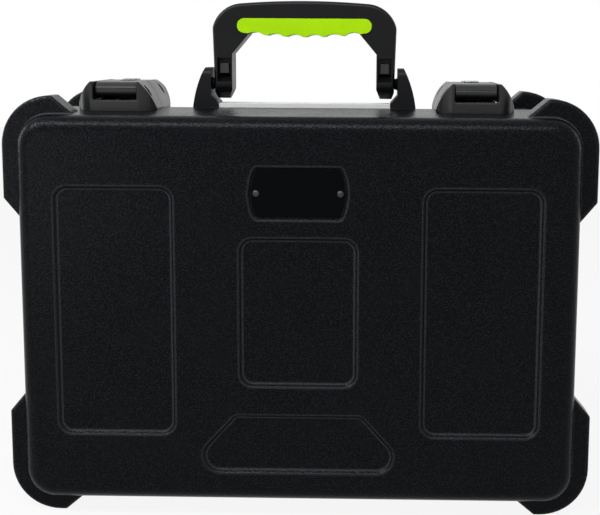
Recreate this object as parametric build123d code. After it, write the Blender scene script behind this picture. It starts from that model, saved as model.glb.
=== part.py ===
"""Hard microphone case: two drafted moulded shells on butt hinges, two draw latches and a fold-down handle.

Millimetres. The case stands on its hinge side: +Z runs up to the handle, the lid's face looks along -Y
and the base lies behind it along +Y. The origin is at the middle of the footprint, on the ground.
"""

import math
import os

from build123d import *

# ---- driving dimensions: body ------------------------------------------------------------------
CASE_WIDTH = 465.0          # over the corner bumpers
CASE_HEIGHT = 335.7         # over the corner bumpers
LID_DEPTH = 70.0
BASE_DEPTH = 130.0
SEAM = 0.6                  # gap between the two rims
WALL = 4.0
DRAFT = 3.2                 # degrees
RIM_RADIUS = 27.0           # outline corner at the rim
FACE_FILLET = 12.0          # side wall to outer face
INNER_BEVEL = 6.0           # side wall to inner floor

# ---- corner bumpers ----------------------------------------------------------------------------
BUMPER_PROUD = 11.2         # beyond the rim outline
BUMPER_THICK = 24.0
BUMPER_SETBACK = 15.0       # from the outer face
BUMPER_RADIUS = 38.5
BUMPER_TOP_FLATS = (42.0, 1.0)  # straight lengths along the side and along the top
BUMPER_FOOT_FLATS = (44.0, 4.5)  # along the side and along the ground
BUMPER_END_RUN = 1.2        # ramp run for each millimetre of rise
BUMPER_ROUND = 2.5

# ---- stamped panels of the outer faces ----------------------------------------------------------
PANEL_DEPTH = 2.8
PANEL_TAPER = 42.0
PANEL_RADIUS = 11.0
PANEL_LIP_RADIUS = 1.3
PANEL_TOE_RADIUS = 0.8
PANEL_BACKING = 2.0         # the inner pad stands this much outside the panel's outline
SIDE_PANEL_WIDTH = 92.9
SIDE_PANEL_MARGIN = 32.3    # from the rim's side
SIDE_PANEL_FOOT = 58.4      # from the rim's foot
SIDE_PANEL_HEAD = 57.0      # from the rim's top
CENTRE_PANEL_HALF = 46.2
CENTRE_PANEL_FOOT = 98.2
CENTRE_PANEL_HEAD = 96.4
KEYSTONE_FOOT = 27.8        # the trapezoid under the centre panel
KEYSTONE_HEIGHT = 47.8
KEYSTONE_LOW_HALF = 93.0
KEYSTONE_HIGH_HALF = 50.0
KEYSTONE_LOW_RADIUS = 14.0
KEYSTONE_HIGH_RADIUS = 8.0

# ---- name plate --------------------------------------------------------------------------------
PLATE_HEAD = 41.1           # its recess, from the rim's top
PLATE_HEIGHT = 41.7
PLATE_HALF = 33.8           # at its corners
PLATE_BULGE = 5.1           # how far its sides bow out
PLATE_RADIUS = 3.5
PLATE_RECESS = 2.6
PLATE_THICK = 1.2
PLATE_GAP = 0.3
PLATE_RIVET_X = 32.5

# ---- valances: tongue on the lid, groove in the base ----------------------------------------------
VALANCE_THICK = 6.0
VALANCE_DEPTH = 12.0
TONGUE_THICK = 2.0
TONGUE_LENGTH = 3.5
TONGUE_CLEARANCE = 0.8

# ---- hinges --------------------------------------------------------------------------------------
HINGE_INSET = 101.3         # hinge middle from the rim's side
HINGE_LENGTH = 62.0
HINGE_DROP = 4.7            # pivot below the rim
HINGE_KNUCKLE_RADIUS = 3.8
HINGE_PIN_RADIUS = 1.5
HINGE_LEAF = 27.0
HINGE_PLATE = 1.6
HINGE_KNUCKLES = 5
HINGE_GAP = 0.4
HINGE_RIVETS = 3
HINGE_RIVET_REACH = 18.0    # from the parting plane

# ---- rivets --------------------------------------------------------------------------------------
RIVET_HEAD_RADIUS = 2.9
RIVET_HEAD = 1.4
RIVET_SHANK_RADIUS = 1.6
RIVET_FLARE_RADIUS = 2.6
RIVET_FLARE = 0.9
RIVET_CROWN = 1.3           # bevel of the head's edge, in and down
RIVET_CROWN_RISE = 0.8
RIVET_CLEARANCE = 0.05

# ---- latches -------------------------------------------------------------------------------------
LATCH_INSET = 77.3          # latch middle from the rim's side, for a centred pair
LATCH_SHIFT = -4.9          # the pair stands this far off the middle
LATCH_HALF = 31.5
LATCH_TOP_HALF = 19.3
LATCH_HEIGHT = 21.5
LATCH_SHOULDER = (27.4, 11.2)   # the shoulder's curve passes through this point
LATCH_FRONT = 32.0          # ahead of the parting plane
LATCH_SWEEP = 16.0          # length of the swept corners in plan
LATCH_SWEEP_POINT = (3.7, 5.1)  # the sweep passes this far in from the side and from the end
LATCH_WINDOW_HALF = 17.3
LATCH_WINDOW_RADIUS = 1.5
LATCH_WINDOW_BEVEL = 0.8
LATCH_FLOOR = 2.5
LATCH_SILL = 6.8
LATCH_SILL_THICK = 3.0
LATCH_RIVET_X = 25.0
LATCH_RIVET_POCKET = 3.1
LATCH_RIVET_FRONT = 23.0    # rivets ahead of and behind the parting plane
LATCH_RIVET_BACK = 30.0
KEEPER_BAR_Y = 16.0         # ahead of the parting plane
KEEPER_BAR_Z = 5.5
KEEPER_BAR_RADIUS = 2.5
KEEPER_BAR_BITE = 4.0
LEVER_PIVOT = (9.0, 9.5)    # behind the parting plane, above the rim
LEVER_PIN_RADIUS = 2.0
LEVER_HALF = 16.9
LEVER_TOP = 21.3
LEVER_NOSE_RADIUS = 6.0
LEVER_WALL = 3.2
LEVER_SKIN = 3.8
LEVER_DOME = 13.0
LEVER_TAIL = 7.5            # height of the finger lip's tip
LEVER_TAIL_THICK = 1.5
HOOK_PIVOT = (19.5, 8.5)
HOOK_PIN_RADIUS = 1.75
HOOK_PIN_HALF = 12.0
HOOK_HALF = 16.4
HOOK_ARM_HALF = 6.0
HOOK_SLOT_HALF = 6.5
HOOK_EYE_RADIUS = 4.0
HOOK_PLATE_END = 5.5        # rear edge of the top plate, behind the parting plane
HOOK_PLATE_THICK = 4.3
HOOK_NOSE_FRONT = 26.3      # ahead of the parting plane
HOOK_RIDGE = 16.5           # height of the ridge along the nose
HOOK_STEP = (0.7, 0.3)      # the nose steps back under its ridge
HOOK_CROWN = (10.0, 3.2, 1.4)   # the nose's upper curve: length, and a point on it from the ridge and top
HOOK_LIP = 9.2              # underside of the claw
HOOK_TOE = 3.0              # the lower curve ends this far behind the nose
HOOK_CLAW_GAP = 1.0         # claw to keeper bar
HOOK_CLAW_RAMP = (4.0, 1.5) # the claw runs into the plate's underside over this ramp
HOOK_WEB = 0.5              # the arm rises this far into the plate
LEVER_SWEEP_CLEARANCE = 0.4
LEVER_SLOT_LEAD = 2.6       # the slot ends this far behind the hook's pivot
LOCK_MARGIN = 0.5           # lever skin left behind and ahead of the lock's cap
LOCK_RADIUS = 6.5
LOCK_CAP_RADIUS = 7.5
LOCK_CAP = 1.2
LOCK_BEVEL = 0.4
LOCK_LENGTH = 11.0
LOCK_BOSS_RADIUS = 9.0
LOCK_CAM = (7.0, 3.0, 2.4)  # reach, half width, thickness
KEYWAY = (1.2, 7.0, 3.0)    # width, length, depth

# ---- handle --------------------------------------------------------------------------------------
HANDLE_Y = 18.0             # pivot axis behind the parting plane
HANDLE_FOOT_GAP = 7.0       # leg foot above the rim
HANDLE_HALF = 76.0
HANDLE_FOOT_TAPER = 1.7     # the feet are narrower by this on each outer side
HANDLE_REACH = 68.0         # pivot to the top of the grip bar
HANDLE_THICK = 25.0
HANDLE_LEG = 16.4           # width of a leg
HANDLE_INNER_RISE = 24.5    # top of the straight part of the legs, above the pivot
HANDLE_INNER_TOP_HALF = 43.6    # half width under the bar, inside the grip
HANDLE_SHOULDER = 46.0      # the legs' outer sides end at this height
HANDLE_SHOULDER_RADIUS = 12.0
HANDLE_CROWN = (52.8, 2.2)  # the bar's crown: half length and rise
HANDLE_TOE_OUT = (2.0, 5.7)     # bevels of the feet, across and up
HANDLE_TOE_IN = (3.1, 7.8)
HANDLE_ROUND = 3.0
GRIP_SHOULDER = 4.2         # the grip's ends stand this far inside the legs
GRIP_LOW = 38.6
GRIP_HIGH = 53.6
GRIP_RADIUS = 5.9
GRIP_PROUD = 0.6
GRIP_SAG = 3.0              # the middle of its underside hangs below the ends
GRIP_SCALLOPS = 6
GRIP_SCALLOP_PITCH = 16.4
GRIP_SCALLOP_RADIUS = 13.0
GRIP_SCALLOP_DEPTH = 1.8
CORE_THICK = 13.0
CORE_LOW = 43.5
POCKET_INSET = 9.6          # pocket middle from the leg's outer side
POCKET_WIDTH = 11.0
POCKET_LOW = 1.2            # above the pivot
POCKET_HIGH = 21.2
POCKET_DEPTH = 9.0
POCKET_RAMP = 7.0
INSERT_WIDTH = 7.0
INSERT_HEIGHT = 8.0
INSERT_DEPTH = 5.5
INSERT_GAP = 0.5            # above the pocket's ramp

# ---- handle brackets -----------------------------------------------------------------------------
BRACKET_MARGIN = 1.0        # the bracket is wider than the leg by this on each face
BRACKET_GAP = 1.3           # leg to upright
BRACKET_FOOT = 5.8          # the foot reaches this far inside the upright
BRACKET_WIDTH = 15.0        # of the upright at its heel
BRACKET_HEAD = 13.2         # bracket top above the pivot
BRACKET_TOP_WIDTH = 5.1
BRACKET_BULGE = (11.1, 18.0)    # the outer side passes here: from the inner side, above the rim
BRACKET_ROUND = 6.75
BRACKET_FOOT_RISE = 3.8
BRACKET_FLARE_RISE = 10.2
BOSS_RADIUS = 5.2
BOSS_TIP_RADIUS = 4.3
BOSS_GAP = 0.4              # boss tip to leg
HANDLE_PIN_RADIUS = 3.0
HANDLE_PIN_BITE = 10.0      # into the leg
HANDLE_PIN_SEAT = 4.0       # into the bracket
STRIP_RISE = 3.2
STRIP_MARGIN = 1.0          # the strip is narrower than the brackets by this on each edge
SCREW_INSET = 6.7           # screw axis from the upright's inner side
SCREW_EDGE = 4.2            # screw axis from the backing plate's edges
SCREW_RADIUS = 2.0
SCREW_HEAD_RADIUS = 3.6
SCREW_HEAD = 1.8
SCREW_BEVEL = 0.6
SCREW_BITE = 9.0
BACKING_THICK = 2.0
BACKING_MARGIN = 6.0        # from the screw heads to the plate's ends
BACKING_RADIUS = 4.0
BACKING_ROOM = 4.0          # foam to plate

# ---- foam ----------------------------------------------------------------------------------------
FOAM_CLEARANCE = 1.6        # to the walls, over the rivets' flares
FOAM_SEAT = 0.3             # to the floor and between pads
FOAM_TOP = 16.0             # behind the parting plane
PAD_THICK = 10.0
DROP_RADIUS = 21.0
DROP_COLUMNS = 5
DROP_ROWS = 3
DROP_WALL = 18.0            # foam between two rows
WELL_WALL = 14.0            # foam round the accessory wells
WELL_RADIUS = 6.0
LID_FOAM_FACE = 21.0        # ahead of the parting plane

# ---- running fits --------------------------------------------------------------------------------
RUNNING = 0.05
OVERCUT = 1.0               # cutters run past what they cut by this

# ---- places worked out from the sizes ------------------------------------------------------------
HALF_W = CASE_WIDTH / 2 - BUMPER_PROUD
HALF_H = CASE_HEIGHT / 2 - BUMPER_PROUD
MID_Z = CASE_HEIGHT / 2
PIVOT_RISE = HANDLE_FOOT_GAP + HANDLE_THICK / 2
HANDLE_FOOT_HALF = HANDLE_HALF - HANDLE_FOOT_TAPER
HANDLE_INNER_HALF = HANDLE_HALF - HANDLE_LEG
GRIP_HALF = HANDLE_INNER_HALF - GRIP_SHOULDER
POCKET_X = HANDLE_HALF - POCKET_INSET
BRACKET_THICK = HANDLE_THICK + 2 * BRACKET_MARGIN
BRACKET_INNER = HANDLE_HALF + BRACKET_GAP
SCREW_X = BRACKET_INNER + SCREW_INSET
HINGE_X = HALF_W - HINGE_INSET
LATCH_X = {"left": LATCH_SHIFT - HALF_W + LATCH_INSET, "right": LATCH_SHIFT + HALF_W - LATCH_INSET}
PARTING_Y = LID_DEPTH - (LID_DEPTH + BASE_DEPTH) / 2
RIM_TOP = MID_Z + HALF_H
RIM_FOOT = MID_Z - HALF_H
SLOPE = math.tan(math.radians(DRAFT))
LID_RIM = Plane(origin=(0, PARTING_Y - SEAM / 2, MID_Z), x_dir=(1, 0, 0), z_dir=(0, -1, 0))
BASE_RIM = Plane(origin=(0, PARTING_Y + SEAM / 2, MID_Z), x_dir=(-1, 0, 0), z_dir=(0, 1, 0))
LOCK_Y = HOOK_PIVOT[0] + LEVER_SLOT_LEAD + LOCK_MARGIN + LOCK_CAP_RADIUS
LATCH_BACK = LOCK_Y + LOCK_CAP_RADIUS + LOCK_MARGIN + LEVER_DOME
LID_SHELL_DEPTH = LID_DEPTH - SEAM / 2
BASE_SHELL_DEPTH = BASE_DEPTH - SEAM / 2


# ---- helpers -------------------------------------------------------------------------------------
def at_rim(y, z):
    """A point given from the parting plane (+ towards the base) and the top rim, as model Y and Z."""
    return PARTING_Y + y, RIM_TOP + z


def rod(radius, length, centre, axis):
    """A cylinder whose middle is at `centre`, along the axis named X, Y or Z."""
    turn = {"X": Rot(0, 90, 0), "Y": Rot(90, 0, 0), "Z": Rot(0, 0, 0)}[axis]
    return Pos(*centre) * turn * Cylinder(radius, length)


def block(x, y, z):
    """A box between the pairs of limits x, y and z."""
    size = [high - low for low, high in (x, y, z)]
    middle = [(low + high) / 2 for low, high in (x, y, z)]
    return Pos(*middle) * Box(*size)


def side_profile(wire_sketch, low, high):
    """A sketch drawn in Y and Z, made solid between two X limits."""
    plane = Plane(origin=(low, 0, 0), x_dir=(0, 1, 0), z_dir=(1, 0, 0))
    return extrude(plane * wire_sketch, amount=high - low)


def front_profile(sketch, near, far):
    """A sketch drawn in X and Z, made solid between two Y limits."""
    plane = Plane(origin=(0, far, 0), x_dir=(1, 0, 0), z_dir=(0, -1, 0))
    return extrude(plane * sketch, amount=far - near)


def plan_profile(sketch, low, high):
    """A sketch drawn in X and Y, made solid between two Z limits."""
    return extrude(Plane.XY.offset(low) * sketch, amount=high - low)


def closed(*edges):
    """The face inside a closed run of edges."""
    return make_face(Curve() + list(edges))


def nearest(shapes, *points):
    """The member of `shapes` whose centre is nearest to each point in turn."""
    return [min(shapes, key=lambda shape: (shape.center() - Vector(*point)).length) for point in points]


def both(shape):
    """A shape and its mirror image in X."""
    return [shape, mirror(shape, about=Plane.YZ)]


def drafted(depth, inset=0.0, start=0.0):
    """The body's outline, `inset` inside it, as a drafted block from `start` to `depth` behind the rim."""
    narrowed = inset + start * SLOPE
    outline = RectangleRounded(2 * (HALF_W - narrowed), 2 * (HALF_H - narrowed), RIM_RADIUS - narrowed)
    return extrude(Plane.XY.offset(start) * outline, amount=depth - start, taper=DRAFT)


def rounded_end(solid):
    """The drafted block with the edge round its far face filleted."""
    return fillet(solid.faces().sort_by(Axis.Z)[-1].edges(), FACE_FILLET)


def bevelled_end(solid):
    """The drafted block with the edge round its far face chamfered."""
    return chamfer(solid.faces().sort_by(Axis.Z)[-1].edges(), INNER_BEVEL)


# ---- shells --------------------------------------------------------------------------------------
def bumper(depth, side_flat, end_flat):
    """One corner bumper in the +x +y corner of a shell `depth` deep, rising from inside the wall."""
    far = depth - BUMPER_SETBACK
    near = far - BUMPER_THICK
    out_x = CASE_WIDTH / 2
    out_y = CASE_HEIGHT / 2
    foot_x = HALF_W - far * SLOPE - WALL / 2
    foot_y = HALF_H - far * SLOPE - WALL / 2
    corner_x = out_x - BUMPER_RADIUS
    corner_y = out_y - BUMPER_RADIUS
    flat_y = corner_y - side_flat
    flat_x = corner_x - end_flat
    tip_y = flat_y - BUMPER_END_RUN * (out_x - foot_x)
    tip_x = flat_x - BUMPER_END_RUN * (out_y - foot_y)
    rise = Line((foot_x, tip_y), (out_x, flat_y))
    side = Line((out_x, flat_y), (out_x, corner_y))
    turn = RadiusArc((out_x, corner_y), (corner_x, out_y), -BUMPER_RADIUS)
    top = Line((corner_x, out_y), (flat_x, out_y))
    fall = Line((flat_x, out_y), (tip_x, foot_y))
    back = Line((tip_x, foot_y), (tip_x, tip_y))
    close = Line((tip_x, tip_y), (foot_x, tip_y))
    outline = closed(rise, side, turn, top, fall, back, close)
    outline = fillet(nearest(outline.vertices(), (out_x, flat_y), (flat_x, out_y)), BUMPER_ROUND)
    solid = extrude(Plane.XY.offset(near) * outline, amount=BUMPER_THICK)
    rims = [edge for edge in solid.faces().filter_by(Axis.Z).edges()
            if max(edge.center().X - foot_x, edge.center().Y - foot_y) > BUMPER_ROUND / 2]
    return fillet(rims, BUMPER_ROUND)


def bumpers(depth):
    """The four corner bumpers of a shell."""
    upper = bumper(depth, *BUMPER_TOP_FLATS)
    lower = mirror(bumper(depth, *BUMPER_FOOT_FLATS), about=Plane.XZ)
    return both(upper) + both(lower)


def side_panel():
    """Outline of the right-hand side panel, from mid-height."""
    height = 2 * HALF_H - SIDE_PANEL_FOOT - SIDE_PANEL_HEAD
    x = HALF_W - SIDE_PANEL_MARGIN - SIDE_PANEL_WIDTH / 2
    y = (SIDE_PANEL_FOOT - SIDE_PANEL_HEAD) / 2
    return Pos(x, y) * RectangleRounded(SIDE_PANEL_WIDTH, height, PANEL_RADIUS)


def centre_panel():
    """Outline of the centre panel, from mid-height."""
    height = 2 * HALF_H - CENTRE_PANEL_FOOT - CENTRE_PANEL_HEAD
    y = (CENTRE_PANEL_FOOT - CENTRE_PANEL_HEAD) / 2
    return Pos(0, y) * RectangleRounded(2 * CENTRE_PANEL_HALF, height, PANEL_RADIUS)


def keystone():
    """Outline of the trapezoid panel, from mid-height."""
    low = KEYSTONE_FOOT - HALF_H
    high = low + KEYSTONE_HEIGHT
    corners = [(-KEYSTONE_LOW_HALF, low), (KEYSTONE_LOW_HALF, low),
               (KEYSTONE_HIGH_HALF, high), (-KEYSTONE_HIGH_HALF, high)]
    shape = make_face(Polyline(*corners, close=True))
    shape = fillet(shape.vertices().sort_by(Axis.Y)[:2], KEYSTONE_LOW_RADIUS)
    return fillet(shape.vertices().sort_by(Axis.Y)[-2:], KEYSTONE_HIGH_RADIUS)


def plate_outline():
    """Outline of the name plate's recess, from mid-height."""
    high = HALF_H - PLATE_HEAD
    low = high - PLATE_HEIGHT
    bow = PLATE_HALF + PLATE_BULGE
    right = ThreePointArc((PLATE_HALF, low), (bow, (low + high) / 2), (PLATE_HALF, high))
    left = ThreePointArc((-PLATE_HALF, high), (-bow, (low + high) / 2), (-PLATE_HALF, low))
    shape = closed(Line((-PLATE_HALF, low), (PLATE_HALF, low)), right,
                   Line((PLATE_HALF, high), (-PLATE_HALF, high)), left)
    return fillet(shape.vertices(), PLATE_RADIUS)


def pressed(outline, face, depth):
    """Cutter for a panel pressed into a face that lies `face` behind the rim, its toe filleted."""
    cutter = extrude(Plane.XY.offset(face) * outline, amount=-depth, taper=PANEL_TAPER)
    return fillet(cutter.edges().group_by(Axis.Z)[0], PANEL_TOE_RADIUS)


def lip(body, outline):
    """The edges where a pressed panel meets the outer face of a shell."""
    box = outline.bounding_box()
    rim = body.faces().sort_by(Axis.Z)[-1].edges()
    return rim.filter_by_position(Axis.X, box.min.X, box.max.X).filter_by_position(Axis.Y, box.min.Y, box.max.Y)


def shell(depth, panels, pressings):
    """A moulded half in rim coordinates: drafted, filleted, with bumpers, panels and an even wall."""
    outer = rounded_end(drafted(depth))
    cavity = bevelled_end(drafted(depth - WALL, WALL))
    for outline in panels:
        pad = offset(outline, PANEL_BACKING)
        floor = depth - WALL - PANEL_DEPTH
        cavity -= extrude(Plane.XY.offset(floor) * pad, amount=PANEL_DEPTH + OVERCUT)
    body = outer
    for corner in bumpers(depth):
        body += corner
    body -= cavity
    for outline, pressing in pressings:
        body -= pressed(outline, depth, pressing)
        body = fillet(lip(body, outline), PANEL_LIP_RADIUS)
    return body


def valance_ring(start, length, near, far):
    """A ring that follows the rim, from `near` to `far` inside the outline, `length` deep."""
    return drafted(start + length, near, start) - drafted(start + length, far, start)


# ---- fasteners -----------------------------------------------------------------------------------
def rivet(grip):
    """A pop rivet on the Z axis: head above z = 0, shank and flare through `grip` of material below."""
    head = Pos(0, 0, RIVET_HEAD / 2) * Cylinder(RIVET_HEAD_RADIUS, RIVET_HEAD)
    head = chamfer(head.edges().sort_by(Axis.Z)[-1], RIVET_CROWN_RISE, RIVET_CROWN)
    shank = Pos(0, 0, -grip / 2) * Cylinder(RIVET_SHANK_RADIUS, grip)
    flare = Pos(0, 0, -grip - RIVET_FLARE / 2) * Cylinder(RIVET_FLARE_RADIUS, RIVET_FLARE)
    return head + shank + flare


def rivet_hole(grip):
    """The hole that the rivet's shank passes through."""
    radius = RIVET_SHANK_RADIUS + RIVET_CLEARANCE
    return Pos(0, 0, -grip / 2) * Cylinder(radius, grip + 2 * RIVET_FLARE)


# ---- hinges --------------------------------------------------------------------------------------
def hinge_axis():
    """Model Y and Z of the hinge pivot."""
    return PARTING_Y, RIM_FOOT - HINGE_DROP


def hinge_leaf(side):
    """One leaf about X = 0: `side` is -1 for the lid and +1 for the base. Knuckles alternate."""
    pivot_y, pivot_z = hinge_axis()
    low = RIM_FOOT - HINGE_PLATE
    inner = pivot_y + side * SEAM / 2
    outer = pivot_y + side * HINGE_LEAF
    drop = SLOPE * (HINGE_LEAF - SEAM / 2)
    plate = make_face(Polyline((inner, RIM_FOOT), (outer, RIM_FOOT + drop),
                               (outer, low + drop), (inner, low), close=True))
    solid = side_profile(plate, -HINGE_LENGTH / 2, HINGE_LENGTH / 2)
    pitch = HINGE_LENGTH / HINGE_KNUCKLES
    for index in range(HINGE_KNUCKLES):
        middle = -HINGE_LENGTH / 2 + pitch * (index + 0.5)
        own = (index % 2 == 0) == (side > 0)
        if own:
            length = pitch - HINGE_GAP
            roll = rod(HINGE_KNUCKLE_RADIUS, length, (middle, pivot_y, pivot_z), "X")
            reach = sorted((pivot_y, pivot_y + side * HINGE_KNUCKLE_RADIUS))
            web = block((middle - length / 2, middle + length / 2), reach, (pivot_z, low + HINGE_PLATE / 2))
            solid = solid + roll + web
        else:
            length = pitch + HINGE_GAP
            swept = HINGE_KNUCKLE_RADIUS + HINGE_GAP
            solid -= rod(swept, length, (middle, pivot_y, pivot_z), "X")
    bore = HINGE_PIN_RADIUS + RUNNING
    return solid - rod(bore, HINGE_LENGTH + 2 * OVERCUT, (0, pivot_y, pivot_z), "X")


def hinge_rivet_places(side):
    """Places of one leaf's rivets about X = 0, head down, square to the drafted wall."""
    pitch = HINGE_LENGTH / HINGE_RIVETS
    reach = HINGE_RIVET_REACH
    y = PARTING_Y + side * reach
    z = RIM_FOOT - HINGE_PLATE + SLOPE * (reach - SEAM / 2)
    tilt = 180 + side * DRAFT
    return [Pos(pitch * (i - (HINGE_RIVETS - 1) / 2), y, z) * Rot(tilt, 0, 0) for i in range(HINGE_RIVETS)]


# ---- latches -------------------------------------------------------------------------------------
def latch_block(front, near, far):
    """The latch housing's dome about X = 0, between two Y limits from the parting plane.

    Its front view is a rounded trapezoid, and its plan has swept corners at the outer end.
    """
    half, top_half, height = LATCH_HALF, LATCH_TOP_HALF, LATCH_HEIGHT
    via_x, via_z = LATCH_SHOULDER
    base = RIM_TOP - WALL / 2 - SLOPE * max(abs(near), abs(far))
    right = ThreePointArc((half, RIM_TOP), (via_x, RIM_TOP + via_z), (top_half, RIM_TOP + height))
    left = ThreePointArc((-top_half, RIM_TOP + height), (-via_x, RIM_TOP + via_z), (-half, RIM_TOP))
    top = Line((top_half, RIM_TOP + height), (-top_half, RIM_TOP + height))
    outline = closed(Line((-half, RIM_TOP), (-half, base)), Line((-half, base), (half, base)),
                     Line((half, base), (half, RIM_TOP)), right, top, left)
    dome = front_profile(outline, PARTING_Y + near, PARTING_Y + far)
    end, corner, root = (near, near + LATCH_SWEEP, far) if front else (far, far - LATCH_SWEEP, near)
    via = half - LATCH_SWEEP_POINT[0]
    via_y = end + math.copysign(LATCH_SWEEP_POINT[1], corner - end)
    y_end, y_via, y_corner, y_root = (PARTING_Y + value for value in (end, via_y, corner, root))
    plan = closed(Line((-top_half, y_end), (top_half, y_end)),
                  ThreePointArc((top_half, y_end), (via, y_via), (half, y_corner)),
                  Line((half, y_corner), (half, y_root)), Line((half, y_root), (-half, y_root)),
                  Line((-half, y_root), (-half, y_corner)),
                  ThreePointArc((-half, y_corner), (-via, y_via), (-top_half, y_end)))
    return dome & plan_profile(plan, base, RIM_TOP + height)


def latch_rivet_places(y):
    """The two rivet places at `y` from the parting plane, on the housing's floor."""
    return [Pos(x, PARTING_Y + y, RIM_TOP + LATCH_FLOOR) for x in (-LATCH_RIVET_X, LATCH_RIVET_X)]


def rivet_pockets(y):
    """The round wells through a housing's shoulders that the rivets are set from."""
    depth = LATCH_HEIGHT
    well = Pos(0, 0, depth / 2) * Cylinder(LATCH_RIVET_POCKET, depth)
    return [place * well for place in latch_rivet_places(y)]


def latch_grip():
    """Material that a latch rivet passes through."""
    return LATCH_FLOOR + WALL + SLOPE * (LATCH_RIVET_BACK + RIVET_FLARE_RADIUS)


def keeper_housing():
    """The lid's half of a latch: a front wall with a window over a sill, two cheeks and a floor."""
    near = -LATCH_FRONT
    far = -SEAM / 2
    solid = latch_block(True, near, far)
    window = (-LATCH_WINDOW_HALF, LATCH_WINDOW_HALF)
    front, sill_z = at_rim(near, LATCH_SILL)
    rear, top = at_rim(far + OVERCUT, LATCH_HEIGHT + OVERCUT)
    solid -= block(window, (front - OVERCUT, rear), (sill_z, top))
    corners = nearest(solid.edges().filter_by(Axis.Y), (window[0], front, sill_z), (window[1], front, sill_z))
    solid = fillet(corners, LATCH_WINDOW_RADIUS)
    rim = [edge for edge in solid.faces().sort_by(Axis.Y)[0].edges()
           if abs(edge.center().X) <= LATCH_WINDOW_HALF + RUNNING and edge.center().Z > sill_z - RUNNING]
    solid = chamfer(rim, LATCH_WINDOW_BEVEL)
    solid -= block(window, (front + LATCH_SILL_THICK, rear), (RIM_TOP + LATCH_FLOOR, top))
    for pocket in rivet_pockets(-LATCH_RIVET_FRONT):
        solid -= pocket
    bar_y, bar_z = at_rim(-KEEPER_BAR_Y, KEEPER_BAR_Z)
    half = LATCH_WINDOW_HALF + KEEPER_BAR_BITE
    return solid - rod(KEEPER_BAR_RADIUS + RUNNING, 2 * half, (0, bar_y, bar_z), "X")


def keeper_bar():
    """The steel bar that the hook bears on, seated in both cheeks."""
    bar_y, bar_z = at_rim(-KEEPER_BAR_Y, KEEPER_BAR_Z)
    half = LATCH_WINDOW_HALF + KEEPER_BAR_BITE - RUNNING
    return rod(KEEPER_BAR_RADIUS, 2 * half, (0, bar_y, bar_z), "X")


def latch_dome_side(grow):
    """Side view of the latch's rear, as an outline that falls away over the finger lip."""
    start_y, top = at_rim(LATCH_BACK - LEVER_DOME, LEVER_TOP + grow)
    end_y, tail = at_rim(LATCH_BACK + grow, LEVER_TAIL)
    low = RIM_TOP - 2 * WALL
    diagonal = math.sqrt(0.5)
    via_y = start_y + (end_y - start_y) * diagonal
    via_z = tail + (top - tail) * diagonal
    front = PARTING_Y - LATCH_FRONT
    return closed(Line((front, low), (front, top)), Line((front, top), (start_y, top)),
                  ThreePointArc((start_y, top), (via_y, via_z), (end_y, tail)),
                  Line((end_y, tail), (end_y, low)), Line((end_y, low), (front, low)))


def latch_housing():
    """The base's half of a latch: two cheeks that carry the lever, joined by a floor."""
    near = SEAM / 2
    far = LATCH_BACK
    solid = latch_block(False, near, far)
    solid &= side_profile(latch_dome_side(LATCH_HEIGHT - LEVER_TOP), -LATCH_HALF, LATCH_HALF)
    well = (-LATCH_WINDOW_HALF, LATCH_WINDOW_HALF)
    front, floor = at_rim(near - OVERCUT, LATCH_FLOOR)
    rear, top = at_rim(far + OVERCUT, LATCH_HEIGHT + OVERCUT)
    solid -= block(well, (front, rear), (floor, top))
    for pocket in rivet_pockets(LATCH_RIVET_BACK):
        solid -= pocket
    pin_y, pin_z = at_rim(*LEVER_PIVOT)
    half = LATCH_WINDOW_HALF + KEEPER_BAR_BITE
    return solid - rod(LEVER_PIN_RADIUS + RUNNING, 2 * half, (0, pin_y, pin_z), "X")


def lever_pins():
    """Two steel stub pins that carry a lever in the housing's cheeks."""
    pin_y, pin_z = at_rim(*LEVER_PIVOT)
    outer = LATCH_WINDOW_HALF + KEEPER_BAR_BITE - RUNNING
    inner = HOOK_SLOT_HALF + LEVER_WALL
    return both(rod(LEVER_PIN_RADIUS, outer - inner, ((outer + inner) / 2, pin_y, pin_z), "X"))


def lever_reach():
    """Radius about the hook's pivot within which the lever stays clear of the hook's plate."""
    return math.hypot(HOOK_PIVOT[0] - HOOK_PLATE_END,
                      LEVER_TOP - HOOK_PLATE_THICK - HOOK_PIVOT[1]) - LEVER_SWEEP_CLEARANCE


def lever_cover():
    """The lever before it is hollowed: rounded about both pivots ahead, domed behind."""
    pin_y, pin_z = at_rim(*LEVER_PIVOT)
    hook_y, hook_z = at_rim(*HOOK_PIVOT)
    tail_y, tail_z = at_rim(LATCH_BACK - SEAM, LEVER_TAIL - LEVER_TAIL_THICK)
    top = RIM_TOP + LEVER_TOP
    under = pin_z - LEVER_NOSE_RADIUS
    width = (-LEVER_HALF, LEVER_HALF)
    side = make_face(Polyline((pin_y, under), (tail_y, tail_z), (tail_y, top), (pin_y, top), close=True))
    body = side_profile(latch_dome_side(0) & side, *width)
    knuckle = rod(LEVER_NOSE_RADIUS, 2 * LEVER_HALF, (0, pin_y, pin_z), "X")
    cheek = rod(lever_reach(), 2 * LEVER_HALF, (0, hook_y, hook_z), "X")
    front = block(width, (hook_y - lever_reach(), pin_y), (pin_z, top))
    behind = block(width, (hook_y, tail_y), (under, top))
    ahead = block(width, (pin_y - LEVER_NOSE_RADIUS, tail_y), (under, top))
    return (body + knuckle + (cheek & front)) & (cheek + behind + knuckle) & ahead


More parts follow.
